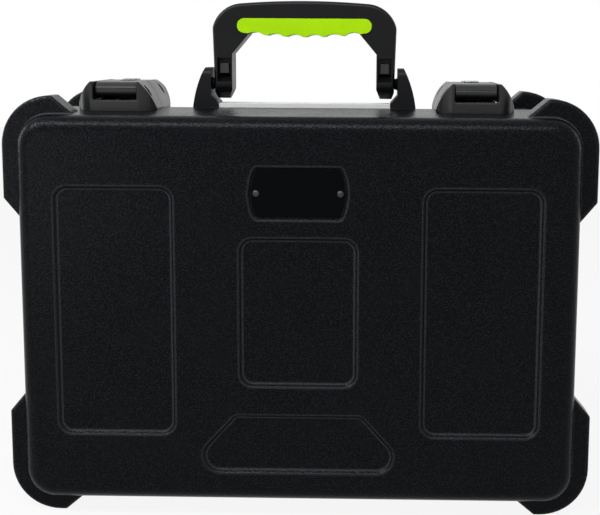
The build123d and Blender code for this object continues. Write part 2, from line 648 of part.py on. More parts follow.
def lever():
    """The lever: a moulded cover, hollow underneath, slotted ahead of the hook's pivot."""
    pin_y, pin_z = at_rim(*LEVER_PIVOT)
    hook_y, hook_z = at_rim(*HOOK_PIVOT)
    lock_y, top = at_rim(LOCK_Y, LEVER_TOP)
    low = RIM_TOP
    ceiling = top - LEVER_SKIN
    hollow_start = hook_y + HOOK_EYE_RADIUS + 2 * LEVER_SWEEP_CLEARANCE
    hollow_end = PARTING_Y + LATCH_BACK - LEVER_DOME + LEVER_SKIN
    inside = (LEVER_WALL - LEVER_HALF, LEVER_HALF - LEVER_WALL)
    slot = (-HOOK_SLOT_HALF, HOOK_SLOT_HALF)
    slot_start = PARTING_Y
    slot_end = hook_y + LEVER_SLOT_LEAD
    body = lever_cover()
    body -= block(inside, (hollow_start, hollow_end), (low, ceiling))
    body -= block(slot, (slot_start, hollow_start + OVERCUT), (low, ceiling))
    body -= block(slot, (slot_start, slot_end), (low, top + OVERCUT))
    boss_low = top - LOCK_LENGTH + 2 * LOCK_CAM[2]
    boss = rod(LOCK_BOSS_RADIUS, ceiling - boss_low, (0, lock_y, (boss_low + ceiling) / 2), "Z")
    body += boss & block(inside, (hollow_start, hollow_end), (boss_low, ceiling))
    body -= rod(LOCK_RADIUS + RUNNING, 4 * LOCK_LENGTH, (0, lock_y, top), "Z")
    pin_length = LEVER_HALF - HOOK_SLOT_HALF - LEVER_WALL
    pin_middle = (LEVER_HALF - pin_length / 2, pin_y, pin_z)
    for bore in both(rod(LEVER_PIN_RADIUS + RUNNING, pin_length, pin_middle, "X")):
        body -= bore
    return body - rod(HOOK_PIN_RADIUS + RUNNING, 2 * HOOK_PIN_HALF + 2 * RUNNING, (0, hook_y, hook_z), "X")


def hook_pin():
    """The pin that joins the hook to its lever."""
    hook_y, hook_z = at_rim(*HOOK_PIVOT)
    return rod(HOOK_PIN_RADIUS, 2 * HOOK_PIN_HALF, (0, hook_y, hook_z), "X")


def hook_plate():
    """Side view of the hook's plate: from its rear edge over the rolled nose and back under the claw."""
    rear, top = at_rim(HOOK_PLATE_END, LEVER_TOP)
    nose, ridge = at_rim(-HOOK_NOSE_FRONT, HOOK_RIDGE)
    lip = RIM_TOP + HOOK_LIP
    under = top - HOOK_PLATE_THICK
    crown, crown_y, crown_z = HOOK_CROWN
    step_y, step_z = nose + HOOK_STEP[0], ridge - HOOK_STEP[1]
    claw = PARTING_Y - KEEPER_BAR_Y - KEEPER_BAR_RADIUS - HOOK_CLAW_GAP
    ramp, drop = HOOK_CLAW_RAMP
    upper = ThreePointArc((nose + crown, top), (nose + crown_y, top - crown_z), (nose, ridge))
    lower = ThreePointArc((step_y, step_z), ((nose + step_y) / 2, (ridge + lip) / 2), (nose + HOOK_TOE, lip))
    under_side = Polyline((nose + HOOK_TOE, lip), (claw, lip), (claw + OVERCUT, under - drop),
                          (claw + OVERCUT + ramp, under), (rear, under), (rear, top), (nose + crown, top))
    return closed(upper, Line((nose, ridge), (step_y, step_z)), lower, *under_side.edges())


def hook_arm():
    """Side view of the arm between the plate and the hook's pivot."""
    hook_y, hook_z = at_rim(*HOOK_PIVOT)
    rear, under = at_rim(HOOK_PLATE_END, LEVER_TOP - HOOK_PLATE_THICK)
    roof = hook_z + HOOK_EYE_RADIUS
    claw = PARTING_Y - KEEPER_BAR_Y + KEEPER_BAR_RADIUS + HOOK_CLAW_GAP
    knee = rear - 2 * HOOK_PLATE_THICK
    return make_face(Polyline((hook_y, roof), (rear, roof), (rear - HOOK_WEB, under + HOOK_WEB),
                              (claw, under + HOOK_WEB), (knee, hook_z),
                              (hook_y, hook_z - HOOK_EYE_RADIUS), close=True))


def hook():
    """The hook: a broad plate whose rolled nose shows in the keeper's window, on a narrow arm."""
    hook_y, hook_z = at_rim(*HOOK_PIVOT)
    plate = side_profile(hook_plate(), -HOOK_HALF, HOOK_HALF)
    arm = side_profile(hook_arm(), -HOOK_ARM_HALF, HOOK_ARM_HALF)
    eye = rod(HOOK_EYE_RADIUS, 2 * HOOK_ARM_HALF, (0, hook_y, hook_z), "X")
    return plate + arm + eye - rod(HOOK_PIN_RADIUS + RUNNING, 2 * HOOK_HALF, (0, hook_y, hook_z), "X")


def lock_cylinder():
    """The lock: a capped cylinder with a keyway and a cam under it."""
    reach, half, thick = LOCK_CAM
    width, length, depth = KEYWAY
    y, top = at_rim(LOCK_Y, LEVER_TOP)
    low = top - LOCK_LENGTH
    face = top + LOCK_CAP
    body = rod(LOCK_RADIUS, face - LOCK_BEVEL - low, (0, y, (low + face - LOCK_BEVEL) / 2), "Z")
    cap = rod(LOCK_CAP_RADIUS, LOCK_CAP - RUNNING, (0, y, (face + top + RUNNING) / 2), "Z")
    cap = chamfer(cap.edges().sort_by(Axis.Z)[-1], LOCK_BEVEL)
    cam = block((-half, half), (y, y + reach), (low - thick, low))
    cam &= rod(reach, 2 * thick, (0, y, low), "Z")
    slot = block((-width / 2, width / 2), (y - length / 2, y + length / 2), (face - depth, face + OVERCUT))
    return body + cap + cam - slot


# ---- handle --------------------------------------------------------------------------------------
def handle_outline():
    """Front view of the handle frame, from the pivot axis: two bevelled feet under a crowned bar."""
    foot = -HANDLE_THICK / 2
    crown, crown_rise = HANDLE_CROWN
    out_across, out_up = HANDLE_TOE_OUT
    in_across, in_up = HANDLE_TOE_IN
    shoulder = (HANDLE_HALF, HANDLE_SHOULDER)
    top = (0, HANDLE_REACH)
    corner_z = HANDLE_REACH - crown_rise
    bar = ThreePointArc((-crown, corner_z), top, (crown, corner_z))
    turn = TangentArc((crown, corner_z), shoulder, tangent=bar % 1)
    sides = Polyline(top, (0, CORE_LOW), (HANDLE_INNER_TOP_HALF, CORE_LOW), (HANDLE_INNER_HALF, HANDLE_INNER_RISE),
                     (HANDLE_INNER_HALF, foot + in_up), (HANDLE_INNER_HALF + in_across, foot),
                     (HANDLE_FOOT_HALF - out_across, foot), (HANDLE_FOOT_HALF, foot + out_up), shoulder)
    right = closed(*sides.edges(), turn, bar.trim(0.5, 1))
    outline = right + mirror(right, about=Plane.YZ)
    creases = outline.vertices().filter_by_position(Axis.Y, HANDLE_SHOULDER - RUNNING, HANDLE_SHOULDER + RUNNING)
    return fillet(creases, HANDLE_SHOULDER_RADIUS)


def grip_outline():
    """Front view of the finger grip, from the pivot axis, before its scallops."""
    low = GRIP_LOW + GRIP_SAG
    span = GRIP_HALF - GRIP_RADIUS
    bar = Pos(0, (GRIP_HIGH + low) / 2) * RectangleRounded(2 * GRIP_HALF, GRIP_HIGH - low, GRIP_RADIUS)
    belly = ThreePointArc((-span, low), (0, GRIP_LOW), (span, low))
    return bar + closed(belly, Polyline((span, low), (span, GRIP_HIGH), (-span, GRIP_HIGH), (-span, low)))


def grip_underside(x):
    """Height of the grip's underside at `x`, from the pivot axis, before its scallops."""
    span = GRIP_HALF - GRIP_RADIUS
    radius = (span ** 2 + GRIP_SAG ** 2) / (2 * GRIP_SAG)
    return GRIP_LOW + radius - math.sqrt(radius ** 2 - x ** 2)


def pivot_frame(sketch, half):
    """A front view drawn from the pivot axis, as a solid that reaches `half` each side of the axis in Y."""
    y, z = at_rim(HANDLE_Y, PIVOT_RISE)
    return Pos(0, 0, z) * front_profile(sketch, y - half, y + half)


def grip_core():
    """The rib of the frame that the grip is moulded round."""
    low, high = CORE_LOW, GRIP_HIGH + OVERCUT
    sketch = Pos(0, (low + high) / 2) * Rectangle(2 * GRIP_HALF - 2 * GRIP_RADIUS, high - low)
    return pivot_frame(sketch, CORE_THICK / 2)


def pocket():
    """The pocket in the front of the right-hand leg, with a ramp up to the face at its lower end."""
    y, z = at_rim(HANDLE_Y, PIVOT_RISE)
    face = y - HANDLE_THICK / 2
    back = face + POCKET_DEPTH
    low, high = z + POCKET_LOW, z + POCKET_HIGH
    outline = make_face(Polyline((face - OVERCUT, low), (face, low), (back, low + POCKET_RAMP),
                                 (back, high), (face - OVERCUT, high), close=True))
    return side_profile(outline, POCKET_X - POCKET_WIDTH / 2, POCKET_X + POCKET_WIDTH / 2)


def handle_frame():
    """The U-shaped frame, its feet rounded about the pivot, with the grip's seat and the leg pockets."""
    y, z = at_rim(HANDLE_Y, PIVOT_RISE)
    half = HANDLE_THICK / 2
    solid = pivot_frame(handle_outline(), half)
    crown = solid.faces().filter_by(Axis.Y).edges().filter_by(GeomType.CIRCLE)
    solid = fillet(crown, HANDLE_ROUND)
    foot = rod(half, 2 * HANDLE_HALF, (0, y, z), "X")
    above = block((-HANDLE_HALF, HANDLE_HALF), (y - half, y + half), (z, z + HANDLE_REACH))
    solid &= foot + above
    solid -= pivot_frame(grip_outline(), half + OVERCUT) - grip_core()
    for hollow in both(pocket()):
        solid -= hollow
    blind = HANDLE_FOOT_HALF - HANDLE_PIN_BITE - RUNNING
    mouth = HANDLE_HALF + OVERCUT
    for bore in both(rod(HANDLE_PIN_RADIUS + RUNNING, mouth - blind, ((blind + mouth) / 2, y, z), "X")):
        solid -= bore
    return solid


def handle_grip():
    """The finger grip, moulded round the frame's rib, with scallops along its underside."""
    y, z = at_rim(HANDLE_Y, PIVOT_RISE)
    half = HANDLE_THICK / 2 + GRIP_PROUD
    solid = pivot_frame(grip_outline(), half) - grip_core()
    for index in range(GRIP_SCALLOPS):
        x = GRIP_SCALLOP_PITCH * (index - (GRIP_SCALLOPS - 1) / 2)
        centre = z + grip_underside(x) + GRIP_SCALLOP_DEPTH - GRIP_SCALLOP_RADIUS
        solid -= rod(GRIP_SCALLOP_RADIUS, 2 * half + OVERCUT, (x, y, centre), "Y")
    return solid


def pocket_insert():
    """The moulded stop at the back of the right-hand leg's pocket."""
    y, z = at_rim(HANDLE_Y, PIVOT_RISE)
    back = y - HANDLE_THICK / 2 + POCKET_DEPTH
    low = z + POCKET_LOW + POCKET_RAMP + INSERT_GAP
    width = (POCKET_X - INSERT_WIDTH / 2, POCKET_X + INSERT_WIDTH / 2)
    return block(width, (back - INSERT_DEPTH, back), (low, low + INSERT_HEIGHT))


def bracket_outline():
    """Front view of the right-hand bracket: a flared foot inside, a convex side outside."""
    foot = RIM_TOP - WALL / 2
    toe = BRACKET_INNER - BRACKET_FOOT
    outer = BRACKET_INNER + BRACKET_WIDTH
    top = RIM_TOP + PIVOT_RISE + BRACKET_HEAD
    top_outer = BRACKET_INNER + BRACKET_TOP_WIDTH
    inside = Polyline((top_outer, top), (BRACKET_INNER, top), (BRACKET_INNER, RIM_TOP + BRACKET_FLARE_RISE),
                      (toe, RIM_TOP + BRACKET_FOOT_RISE), (toe, foot), (outer, foot), (outer, RIM_TOP))
    bulge = (BRACKET_INNER + BRACKET_BULGE[0], RIM_TOP + BRACKET_BULGE[1])
    return closed(*inside.edges(), ThreePointArc((outer, RIM_TOP), bulge, (top_outer, top)))


def bracket():
    """The right-hand bracket: a flared foot, an upright and a tapered boss for the pivot pin."""
    y, z = at_rim(HANDLE_Y, PIVOT_RISE)
    solid = front_profile(bracket_outline(), y - BRACKET_THICK / 2, y + BRACKET_THICK / 2)
    corners = solid.faces().sort_by(Axis.Z)[-1].edges().filter_by(Axis.X)
    solid = fillet(corners, BRACKET_ROUND)
    tip = HANDLE_FOOT_HALF + BOSS_GAP
    boss = Cone(BOSS_RADIUS, BOSS_TIP_RADIUS, BRACKET_INNER - tip)
    solid += Pos((BRACKET_INNER + tip) / 2, y, z) * Rot(0, -90, 0) * boss
    seat = BRACKET_INNER + HANDLE_PIN_SEAT
    return solid - rod(HANDLE_PIN_RADIUS, 2 * (seat - tip), (tip, y, z), "X")


def handle_pin():
    """The right-hand pivot pin, fast in the bracket and running in the leg."""
    y, z = at_rim(HANDLE_Y, PIVOT_RISE)
    outer = BRACKET_INNER + HANDLE_PIN_SEAT
    inner = HANDLE_FOOT_HALF - HANDLE_PIN_BITE
    return rod(HANDLE_PIN_RADIUS, outer - inner, ((outer + inner) / 2, y, z), "X")


def backing_limits():
    """The backing plate's reach in Y: from behind the valance to the back of the brackets."""
    near = PARTING_Y + SEAM / 2 + VALANCE_DEPTH + SEAM
    far = PARTING_Y + HANDLE_Y + BRACKET_THICK / 2
    return near, far


def inner_ceiling():
    """Height of the base's inner face above the handle, at its lowest."""
    return RIM_TOP - WALL - SLOPE * (HANDLE_Y + BRACKET_THICK / 2)


def screw_length():
    """Length of a bracket screw's shank, from the backing plate's underside."""
    return BACKING_THICK + WALL + SLOPE * BRACKET_THICK + SCREW_BITE


def bracket_screw():
    """A screw on the Z axis: its head hangs under the backing plate at z = 0 and its shank bites above."""
    shank = Pos(0, 0, screw_length() / 2) * Cylinder(SCREW_RADIUS, screw_length())
    head = Pos(0, 0, -SCREW_HEAD / 2) * Cylinder(SCREW_HEAD_RADIUS, SCREW_HEAD)
    return shank + chamfer(head.edges().sort_by(Axis.Z)[0], SCREW_BEVEL)


def screw_places():
    """All four bracket screws, at the underside of the backing plate."""
    z = inner_ceiling() - BACKING_THICK
    near, far = backing_limits()
    return [Pos(sign * SCREW_X, y, z) for sign in (1, -1) for y in (near + SCREW_EDGE, far - SCREW_EDGE)]


def screw_holes():
    """Clearance for the bracket screws."""
    length = screw_length() + OVERCUT
    hole = Pos(0, 0, length / 2 - RIVET_CLEARANCE) * Cylinder(SCREW_RADIUS + RIVET_CLEARANCE, length)
    return [place * hole for place in screw_places()]


def backing_plate():
    """The plate inside the base that the bracket screws pull up against the wall."""
    half = SCREW_X + SCREW_HEAD_RADIUS + BACKING_MARGIN
    low = inner_ceiling() - BACKING_THICK
    bar = block((-half, half), backing_limits(), (low, low + BACKING_THICK))
    return fillet(bar.edges().filter_by(Axis.Z), BACKING_RADIUS)


def handle_strip():
    """The flat metal strip that lies on the base between the bracket feet."""
    y = PARTING_Y + HANDLE_Y
    half = BRACKET_INNER - BRACKET_FOOT - SEAM
    depth = BRACKET_THICK / 2 - STRIP_MARGIN
    return block((-half, half), (y - depth, y + depth), (RIM_TOP - WALL, RIM_TOP + STRIP_RISE))


# ---- foam ----------------------------------------------------------------------------------------
def foam_envelope(near, far):
    """The space between two depths behind the base's rim, clear of the wall."""
    return drafted(far, WALL + FOAM_CLEARANCE, near)


def foam_floor():
    """Depth of the base's inner floor over its panels' pads."""
    return BASE_SHELL_DEPTH - WALL - PANEL_DEPTH


def foam_slab(near, far, low, high):
    """A slab of the base's foam between two heights from mid-height."""
    space = foam_envelope(near, far)
    band = Pos(0, (low + high) / 2, (near + far) / 2) * Box(2 * CASE_WIDTH, high - low, far - near)
    return space & band


def foam_half():
    """Half width and half height of the foam where the shell is tightest, over the pad."""
    narrowed = WALL + FOAM_CLEARANCE + SLOPE * drop_depths()[1]
    return HALF_W - narrowed, HALF_H - narrowed


def drop_depths():
    """Depths behind the rim between which the drop foam lies."""
    return FOAM_TOP, foam_floor() - PAD_THICK - 2 * FOAM_SEAT


def drop_row_limits(row):
    """Heights of one row of drops, from mid-height: the last row fills up to the top wall."""
    pitch = 2 * DROP_RADIUS + DROP_WALL
    low = foam_half()[1] - (DROP_ROWS - row) * pitch
    return low, low + pitch


def drop_row(row):
    """One glued strip of drop foam with its row of round microphone wells."""
    near, far = drop_depths()
    low, high = drop_row_limits(row)
    last = row == DROP_ROWS - 1
    slab = foam_slab(near, far, low, HALF_H if last else high)
    if last:
        slab -= backing_room()
    pitch = 2 * foam_half()[0] / DROP_COLUMNS
    for column in range(DROP_COLUMNS):
        x = pitch * (column - (DROP_COLUMNS - 1) / 2)
        slab -= Pos(x, (low + high) / 2, (near + far) / 2) * Cylinder(DROP_RADIUS, far - near + OVERCUT)
    return slab


def backing_room():
    """Room in the foam's top edge for the backing plate and screw heads, in rim coordinates."""
    low = inner_ceiling() - MID_Z - BACKING_THICK - SCREW_HEAD - BACKING_ROOM
    half = SCREW_X + SCREW_HEAD_RADIUS + BACKING_MARGIN + BACKING_ROOM
    depth = HANDLE_Y + BRACKET_THICK / 2 + BACKING_ROOM
    return Pos(0, (low + HALF_H) / 2, depth / 2) * Box(2 * half, HALF_H - low, depth)


def accessory_foam():
    """The foam along the hinge side, with two long wells."""
    near, far = drop_depths()
    high = drop_row_limits(0)[0]
    half_w, half_h = foam_half()
    length = half_w - 1.5 * WELL_WALL
    height = high + half_h - 2 * WELL_WALL
    slab = foam_slab(near, far, -HALF_H, high)
    outline = Plane.XY.offset(near - OVERCUT) * RectangleRounded(length, height, WELL_RADIUS)
    cutter = extrude(outline, amount=far - near + 2 * OVERCUT)
    for well in both(Pos((length + WELL_WALL) / 2, (high - half_h) / 2, 0) * cutter):
        slab -= well
    return slab


def foam_pad():
    """The pad under the wells, on the base's inner floor."""
    far = foam_floor() - FOAM_SEAT
    return bevelled_end(foam_envelope(far - PAD_THICK, far))


def lid_foam():
    """The lid's foam, from its inner floor to the face that presses on the microphones."""
    far = LID_SHELL_DEPTH - WALL - PANEL_DEPTH - FOAM_SEAT
    return bevelled_end(drafted(far, WALL + FOAM_CLEARANCE, LID_FOAM_FACE))


# ---- the assembled case --------------------------------------------------------------------------
SIDES = {"left": -1, "right": 1}


def drilled(solid, holes):
    """A solid with a list of holes cut through it."""
    for hole in holes:
        solid -= hole
    return solid


def hinge_half(side, half_name):
    """The leaves and rivets of one shell's hinges, and the holes that they need in it."""
    parts, rivets, holes = {}, [], []
    grip = HINGE_PLATE + WALL
    for name, sign in SIDES.items():
        places = [Pos(sign * HINGE_X, 0, 0) * place for place in hinge_rivet_places(side)]
        leaf = Pos(sign * HINGE_X, 0, 0) * hinge_leaf(side)
        own_holes = [place * rivet_hole(grip) for place in places]
        parts[f"hinge_{half_name}_leaf_{name}"] = drilled(leaf, own_holes)
        rivets += [place * rivet(grip) for place in places]
        holes += own_holes
    parts[f"hinge_{half_name}_rivets"] = Compound(rivets)
    return parts, holes


def latch_half(housing, node, y, blank):
    """Both housings of one shell with their rivets, seated on the shell's outline `blank`."""
    parts, rivets, holes = {}, [], []
    grip = latch_grip()
    seated = housing - blank
    for name in SIDES:
        places = [Pos(LATCH_X[name], 0, 0) * place for place in latch_rivet_places(y)]
        placed = Pos(LATCH_X[name], 0, 0) * seated
        own_holes = [place * rivet_hole(grip) for place in places]
        parts[f"{node}_{name}"] = drilled(placed, own_holes)
        rivets += [place * rivet(grip) for place in places]
        holes += own_holes
    parts[f"{node}_rivets"] = Compound(rivets)
    return parts, holes


def lid_valance():
    """The lid's rim extrusion, with its tongue, in rim coordinates."""
    body = valance_ring(0, VALANCE_DEPTH, WALL, WALL + VALANCE_THICK)
    inset = WALL + (VALANCE_THICK - TONGUE_THICK) / 2
    half_w, half_h = HALF_W - inset, HALF_H - inset
    ring = RectangleRounded(2 * half_w, 2 * half_h, RIM_RADIUS - inset)
    ring -= RectangleRounded(2 * (half_w - TONGUE_THICK), 2 * (half_h - TONGUE_THICK),
                             RIM_RADIUS - inset - TONGUE_THICK)
    reach = TONGUE_LENGTH + SEAM
    return body + extrude(Plane.XY.offset(-reach) * ring, amount=reach + OVERCUT)


def base_valance():
    """The base's rim extrusion, with the groove that takes the tongue, in rim coordinates."""
    body = valance_ring(0, VALANCE_DEPTH, WALL, WALL + VALANCE_THICK)
    inset = WALL + (VALANCE_THICK - TONGUE_THICK) / 2 - TONGUE_CLEARANCE
    width = TONGUE_THICK + 2 * TONGUE_CLEARANCE
    half_w, half_h = HALF_W - inset, HALF_H - inset
    ring = RectangleRounded(2 * half_w, 2 * half_h, RIM_RADIUS - inset)
    ring -= RectangleRounded(2 * (half_w - width), 2 * (half_h - width), RIM_RADIUS - inset - width)
    return body - extrude(Plane.XY.offset(-OVERCUT) * ring, amount=TONGUE_LENGTH + 2 * OVERCUT)


def name_plate():
    """The bare plate in the lid's recess, in rim coordinates, drilled for its rivets."""
    floor = LID_SHELL_DEPTH - PLATE_RECESS
    inset = PLATE_RECESS * math.tan(math.radians(PANEL_TAPER)) + PLATE_GAP
    plate = extrude(Plane.XY.offset(floor) * offset(plate_outline(), -inset), amount=PLATE_THICK)
    return drilled(plate, [place * rivet_hole(PLATE_THICK) for place in plate_rivet_places()])


def plate_rivet_places():
    """The two rivets of the name plate, in rim coordinates, at the plate's face."""
    y = HALF_H - PLATE_HEAD - PLATE_HEIGHT / 2
    z = LID_SHELL_DEPTH - PLATE_RECESS + PLATE_THICK
    return [Pos(x, y, z) for x in (-PLATE_RIVET_X, PLATE_RIVET_X)]


def lid_parts():
    """Every node of the lid, by name."""
    panels = both(side_panel()) + [centre_panel(), keystone()]
    pressings = [(outline, PANEL_DEPTH) for outline in panels] + [(plate_outline(), PLATE_RECESS)]
    hinges, hinge_holes = hinge_half(-1, "lid")
    blank = LID_RIM * drafted(LID_SHELL_DEPTH)
    latches, latch_holes = latch_half(keeper_housing(), "keeper_housing", -LATCH_RIVET_FRONT, blank)
    grip = PLATE_THICK + WALL - PLATE_RECESS
    plate_rivets = [place * rivet(grip) for place in plate_rivet_places()]
    plate_holes = [place * rivet_hole(grip) for place in plate_rivet_places()]
    body = drilled(shell(LID_SHELL_DEPTH, panels, pressings), plate_holes)
    parts = {"lid_shell": drilled(LID_RIM * body, hinge_holes + latch_holes)}
    parts["lid_valance"] = LID_RIM * lid_valance()
    parts["lid_foam"] = LID_RIM * lid_foam()
    parts["name_plate"] = LID_RIM * name_plate()
    parts["name_plate_rivets"] = LID_RIM * Compound(plate_rivets)
    for name in SIDES:
        parts[f"keeper_bar_{name}"] = Pos(LATCH_X[name], 0, 0) * keeper_bar()
    return parts | hinges | latches


def base_parts():
    """Every node of the base, by name."""
    panels = both(side_panel()) + [centre_panel()]
    pressings = [(outline, PANEL_DEPTH) for outline in panels]
    hinges, hinge_holes = hinge_half(1, "base")
    blank = BASE_RIM * drafted(BASE_SHELL_DEPTH)
    latches, latch_holes = latch_half(latch_housing(), "latch_housing", LATCH_RIVET_BACK, blank)
    body = BASE_RIM * shell(BASE_SHELL_DEPTH, panels, pressings)
    parts = {"base_shell": drilled(body, hinge_holes + latch_holes + screw_holes())}
    parts["base_valance"] = BASE_RIM * base_valance()
    parts["foam_pad"] = BASE_RIM * foam_pad()
    for row in range(DROP_ROWS):
        parts[f"drop_foam_{row + 1}"] = BASE_RIM * drop_row(row)
    parts["accessory_foam"] = BASE_RIM * accessory_foam()
    parts["handle_strip"] = handle_strip() - blank
    parts["handle_backing_plate"] = drilled(backing_plate(), screw_holes())
    parts["bracket_screws"] = Compound([place * bracket_screw() for place in screw_places()])
    upright = bracket() - blank
    for name, sign in SIDES.items():
        own = {"handle_bracket": drilled(upright, screw_holes()), "handle_pin": handle_pin()}
        for node, solid in own.items():
            parts[f"{node}_{name}"] = solid if sign > 0 else mirror(solid, about=Plane.YZ)
        placed = Pos(LATCH_X[name], 0, 0)
        parts[f"lever_pins_{name}"] = Compound([placed * pin for pin in lever_pins()])
        y, z = hinge_axis()
        parts[f"hinge_pin_{name}"] = rod(HINGE_PIN_RADIUS, HINGE_LENGTH, (sign * HINGE_X, y, z), "X")
    return parts | hinges | latches


def moving_parts():
    """The nodes of the handle, levers, hooks and locks, by name."""
    parts = {"handle_frame": handle_frame(), "handle_grip": handle_grip(),
             "handle_inserts": Compound(both(pocket_insert()))}
    makers = {"latch_lever": lever, "hook_pin": hook_pin, "latch_hook": hook, "lock_cylinder": lock_cylinder}
    for node, maker in makers.items():
        solid = maker()
        for name in SIDES:
            parts[f"{node}_{name}"] = Pos(LATCH_X[name], 0, 0) * solid
    return parts


os.makedirs("parts", exist_ok=True)
for node, solid in (lid_parts() | base_parts() | moving_parts()).items():
    export_step(solid, f"parts/{node}.step")
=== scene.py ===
"""A hard moulded microphone case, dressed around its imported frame.

The frame gives every hard part its shape and its place. Here each part gets its finish, the foam
and the rivets are modelled as what they are, and the case is lit and seen from the front.
"""

import logging
import math
from dataclasses import dataclass
from enum import Enum

import bmesh
import bpy
from mathutils import Matrix, Vector

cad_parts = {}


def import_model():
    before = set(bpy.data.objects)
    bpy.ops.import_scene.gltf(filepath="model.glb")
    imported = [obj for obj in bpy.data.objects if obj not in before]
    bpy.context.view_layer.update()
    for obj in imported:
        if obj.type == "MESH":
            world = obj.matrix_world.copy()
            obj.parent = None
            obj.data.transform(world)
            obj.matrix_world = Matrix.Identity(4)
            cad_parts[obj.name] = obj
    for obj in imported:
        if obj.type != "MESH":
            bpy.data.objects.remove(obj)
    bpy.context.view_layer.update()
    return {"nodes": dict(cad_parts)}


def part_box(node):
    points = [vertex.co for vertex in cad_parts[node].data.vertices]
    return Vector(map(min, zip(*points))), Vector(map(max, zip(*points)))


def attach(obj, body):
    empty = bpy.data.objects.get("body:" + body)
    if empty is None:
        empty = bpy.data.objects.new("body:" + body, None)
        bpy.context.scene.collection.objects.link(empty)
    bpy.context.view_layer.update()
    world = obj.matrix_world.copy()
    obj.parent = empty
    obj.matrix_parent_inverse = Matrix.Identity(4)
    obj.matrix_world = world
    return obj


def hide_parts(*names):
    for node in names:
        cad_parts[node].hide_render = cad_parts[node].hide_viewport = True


LOG = logging.getLogger("microphone_case")
MM = 0.001
SIDES = ("left", "right")

WHITE = "#FFFFFF"
SRGB_FOOT = 0.04045             # below this, sRGB is a straight line
SRGB_SLOPE = 12.92
SRGB_LIFT = 0.055
SRGB_POWER = 2.4


# ---- small tools ---------------------------------------------------------------------------------
def linear(hex_colour: str) -> tuple[float, float, float, float]:
    """Turns an sRGB hex colour into linear light.

    Args:
        hex_colour: the colour as "#RRGGBB".

    Returns:
        Red, green, blue and an alpha of one.
    """
    parts = [int(hex_colour[i:i + 2], 16) / 255 for i in (1, 3, 5)]
    red, green, blue = (
        p / SRGB_SLOPE if p <= SRGB_FOOT else ((p + SRGB_LIFT) / (1 + SRGB_LIFT)) ** SRGB_POWER
        for p in parts)
    return red, green, blue, 1.0


def add_node(tree: bpy.types.NodeTree, kind: str, settings: dict | None = None,
             inputs: dict | None = None) -> bpy.types.Node:
    """Adds one node with its settings, its values and its links.

    Args:
        tree: the node tree that gets the node.
        kind: Blender's name of the node type.
        settings: properties of the node, by name.
        inputs: values or output sockets, by the name or number of the input they go to.

    Returns:
        The new node.
    """
    node = tree.nodes.new(kind)
    for name, value in (settings or {}).items():
        setattr(node, name, value)
    for key, value in (inputs or {}).items():
        if isinstance(value, bpy.types.NodeSocket):
            tree.links.new(value, node.inputs[key])
        else:
            node.inputs[key].default_value = value
    return node


def open_tree(name: str, sockets: dict[str, str]) -> bpy.types.NodeTree:
    """Starts a geometry node tree that takes geometry and values, and gives geometry.

    Args:
        name: the tree's name.
        sockets: the kind of each value it takes, by the value's name.

    Returns:
        The tree, still without nodes.
    """
    tree = bpy.data.node_groups.new(name, "GeometryNodeTree")
    for socket, kind in {"Geometry": "Geometry", **sockets}.items():
        tree.interface.new_socket(socket, in_out="INPUT", socket_type=f"NodeSocket{kind}")
    tree.interface.new_socket("Geometry", in_out="OUTPUT", socket_type="NodeSocketGeometry")
    return tree


def close_tree(tree: bpy.types.NodeTree, shape: bpy.types.NodeSocket,
               finish: bpy.types.NodeSocket) -> None:
    """Ends a geometry node tree with real geometry that wears its finish.

    Args:
        tree: the tree to end.
        shape: the geometry that it has made.
        finish: the material that covers it.
    """
    real = add_node(tree, "GeometryNodeRealizeInstances", inputs={"Geometry": shape}).outputs[0]
    coated = add_node(tree, "GeometryNodeSetMaterial", inputs={
        "Geometry": real, "Material": finish}).outputs[0]
    add_node(tree, "NodeGroupOutput", inputs={0: coated})


def new_object(name: str, mesh: bpy.types.Mesh) -> bpy.types.Object:
    """Puts a mesh into the scene as an object at the origin.

    Args:
        name: the piece's name.
        mesh: its mesh, with its place in its vertices.

    Returns:
        The new object.
    """
    piece = bpy.data.objects.new(name, mesh)
    bpy.context.scene.collection.objects.link(piece)
    return piece


def grown_mesh(seat: bpy.types.Object, tree: bpy.types.NodeTree, values: dict) -> bpy.types.Mesh:
    """Runs a geometry node tree on an object and keeps only the mesh that comes out.

    Args:
        seat: the object that the tree works on, removed afterwards.
        tree: the geometry node tree.
        values: what the tree takes, by name.

    Returns:
        The finished mesh.
    """
    modifier = seat.modifiers.new(tree.name, "NODES")
    modifier.node_group = tree
    for item in tree.interface.items_tree:
        if item.in_out == "INPUT" and item.name in values:
            modifier[item.identifier] = values[item.name]
    graph = bpy.context.evaluated_depsgraph_get()
    mesh = bpy.data.meshes.new_from_object(seat.evaluated_get(graph))
    bpy.data.objects.remove(seat)
    return mesh


def mend(mesh: bpy.types.Mesh, weld: float = 0.0) -> None:
    """Turns the faces of a mesh outward, after welding its seams.

    Args:
        mesh: the mesh to mend in place.
        weld: the distance under which points become one, or 0 to weld none.
    """
    work = bmesh.new()
    work.from_mesh(mesh)
    if weld:
        bmesh.ops.remove_doubles(work, verts=work.verts, dist=weld)
    bmesh.ops.recalc_face_normals(work, faces=work.faces)
    work.to_mesh(mesh)
    work.free()


def shade_smooth(mesh: bpy.types.Mesh, sharp_degrees: float) -> None:
    """Shades a mesh smooth except along its sharp edges.

    Args:
        mesh: the mesh to shade.
        sharp_degrees: the angle from which an edge stays sharp.
    """
    for face in mesh.polygons:
        face.use_smooth = True
    mesh.set_sharp_from_angle(angle=math.radians(sharp_degrees))


def dress(piece: bpy.types.Object, material: bpy.types.Material) -> None:
    """Gives a node or a piece its finish.

    Args:
        piece: a node of the frame or a new piece.
        material: the finish that covers it.
    """
    if not piece.material_slots:
        piece.data.materials.append(material)
    for slot in piece.material_slots:
        slot.material = material


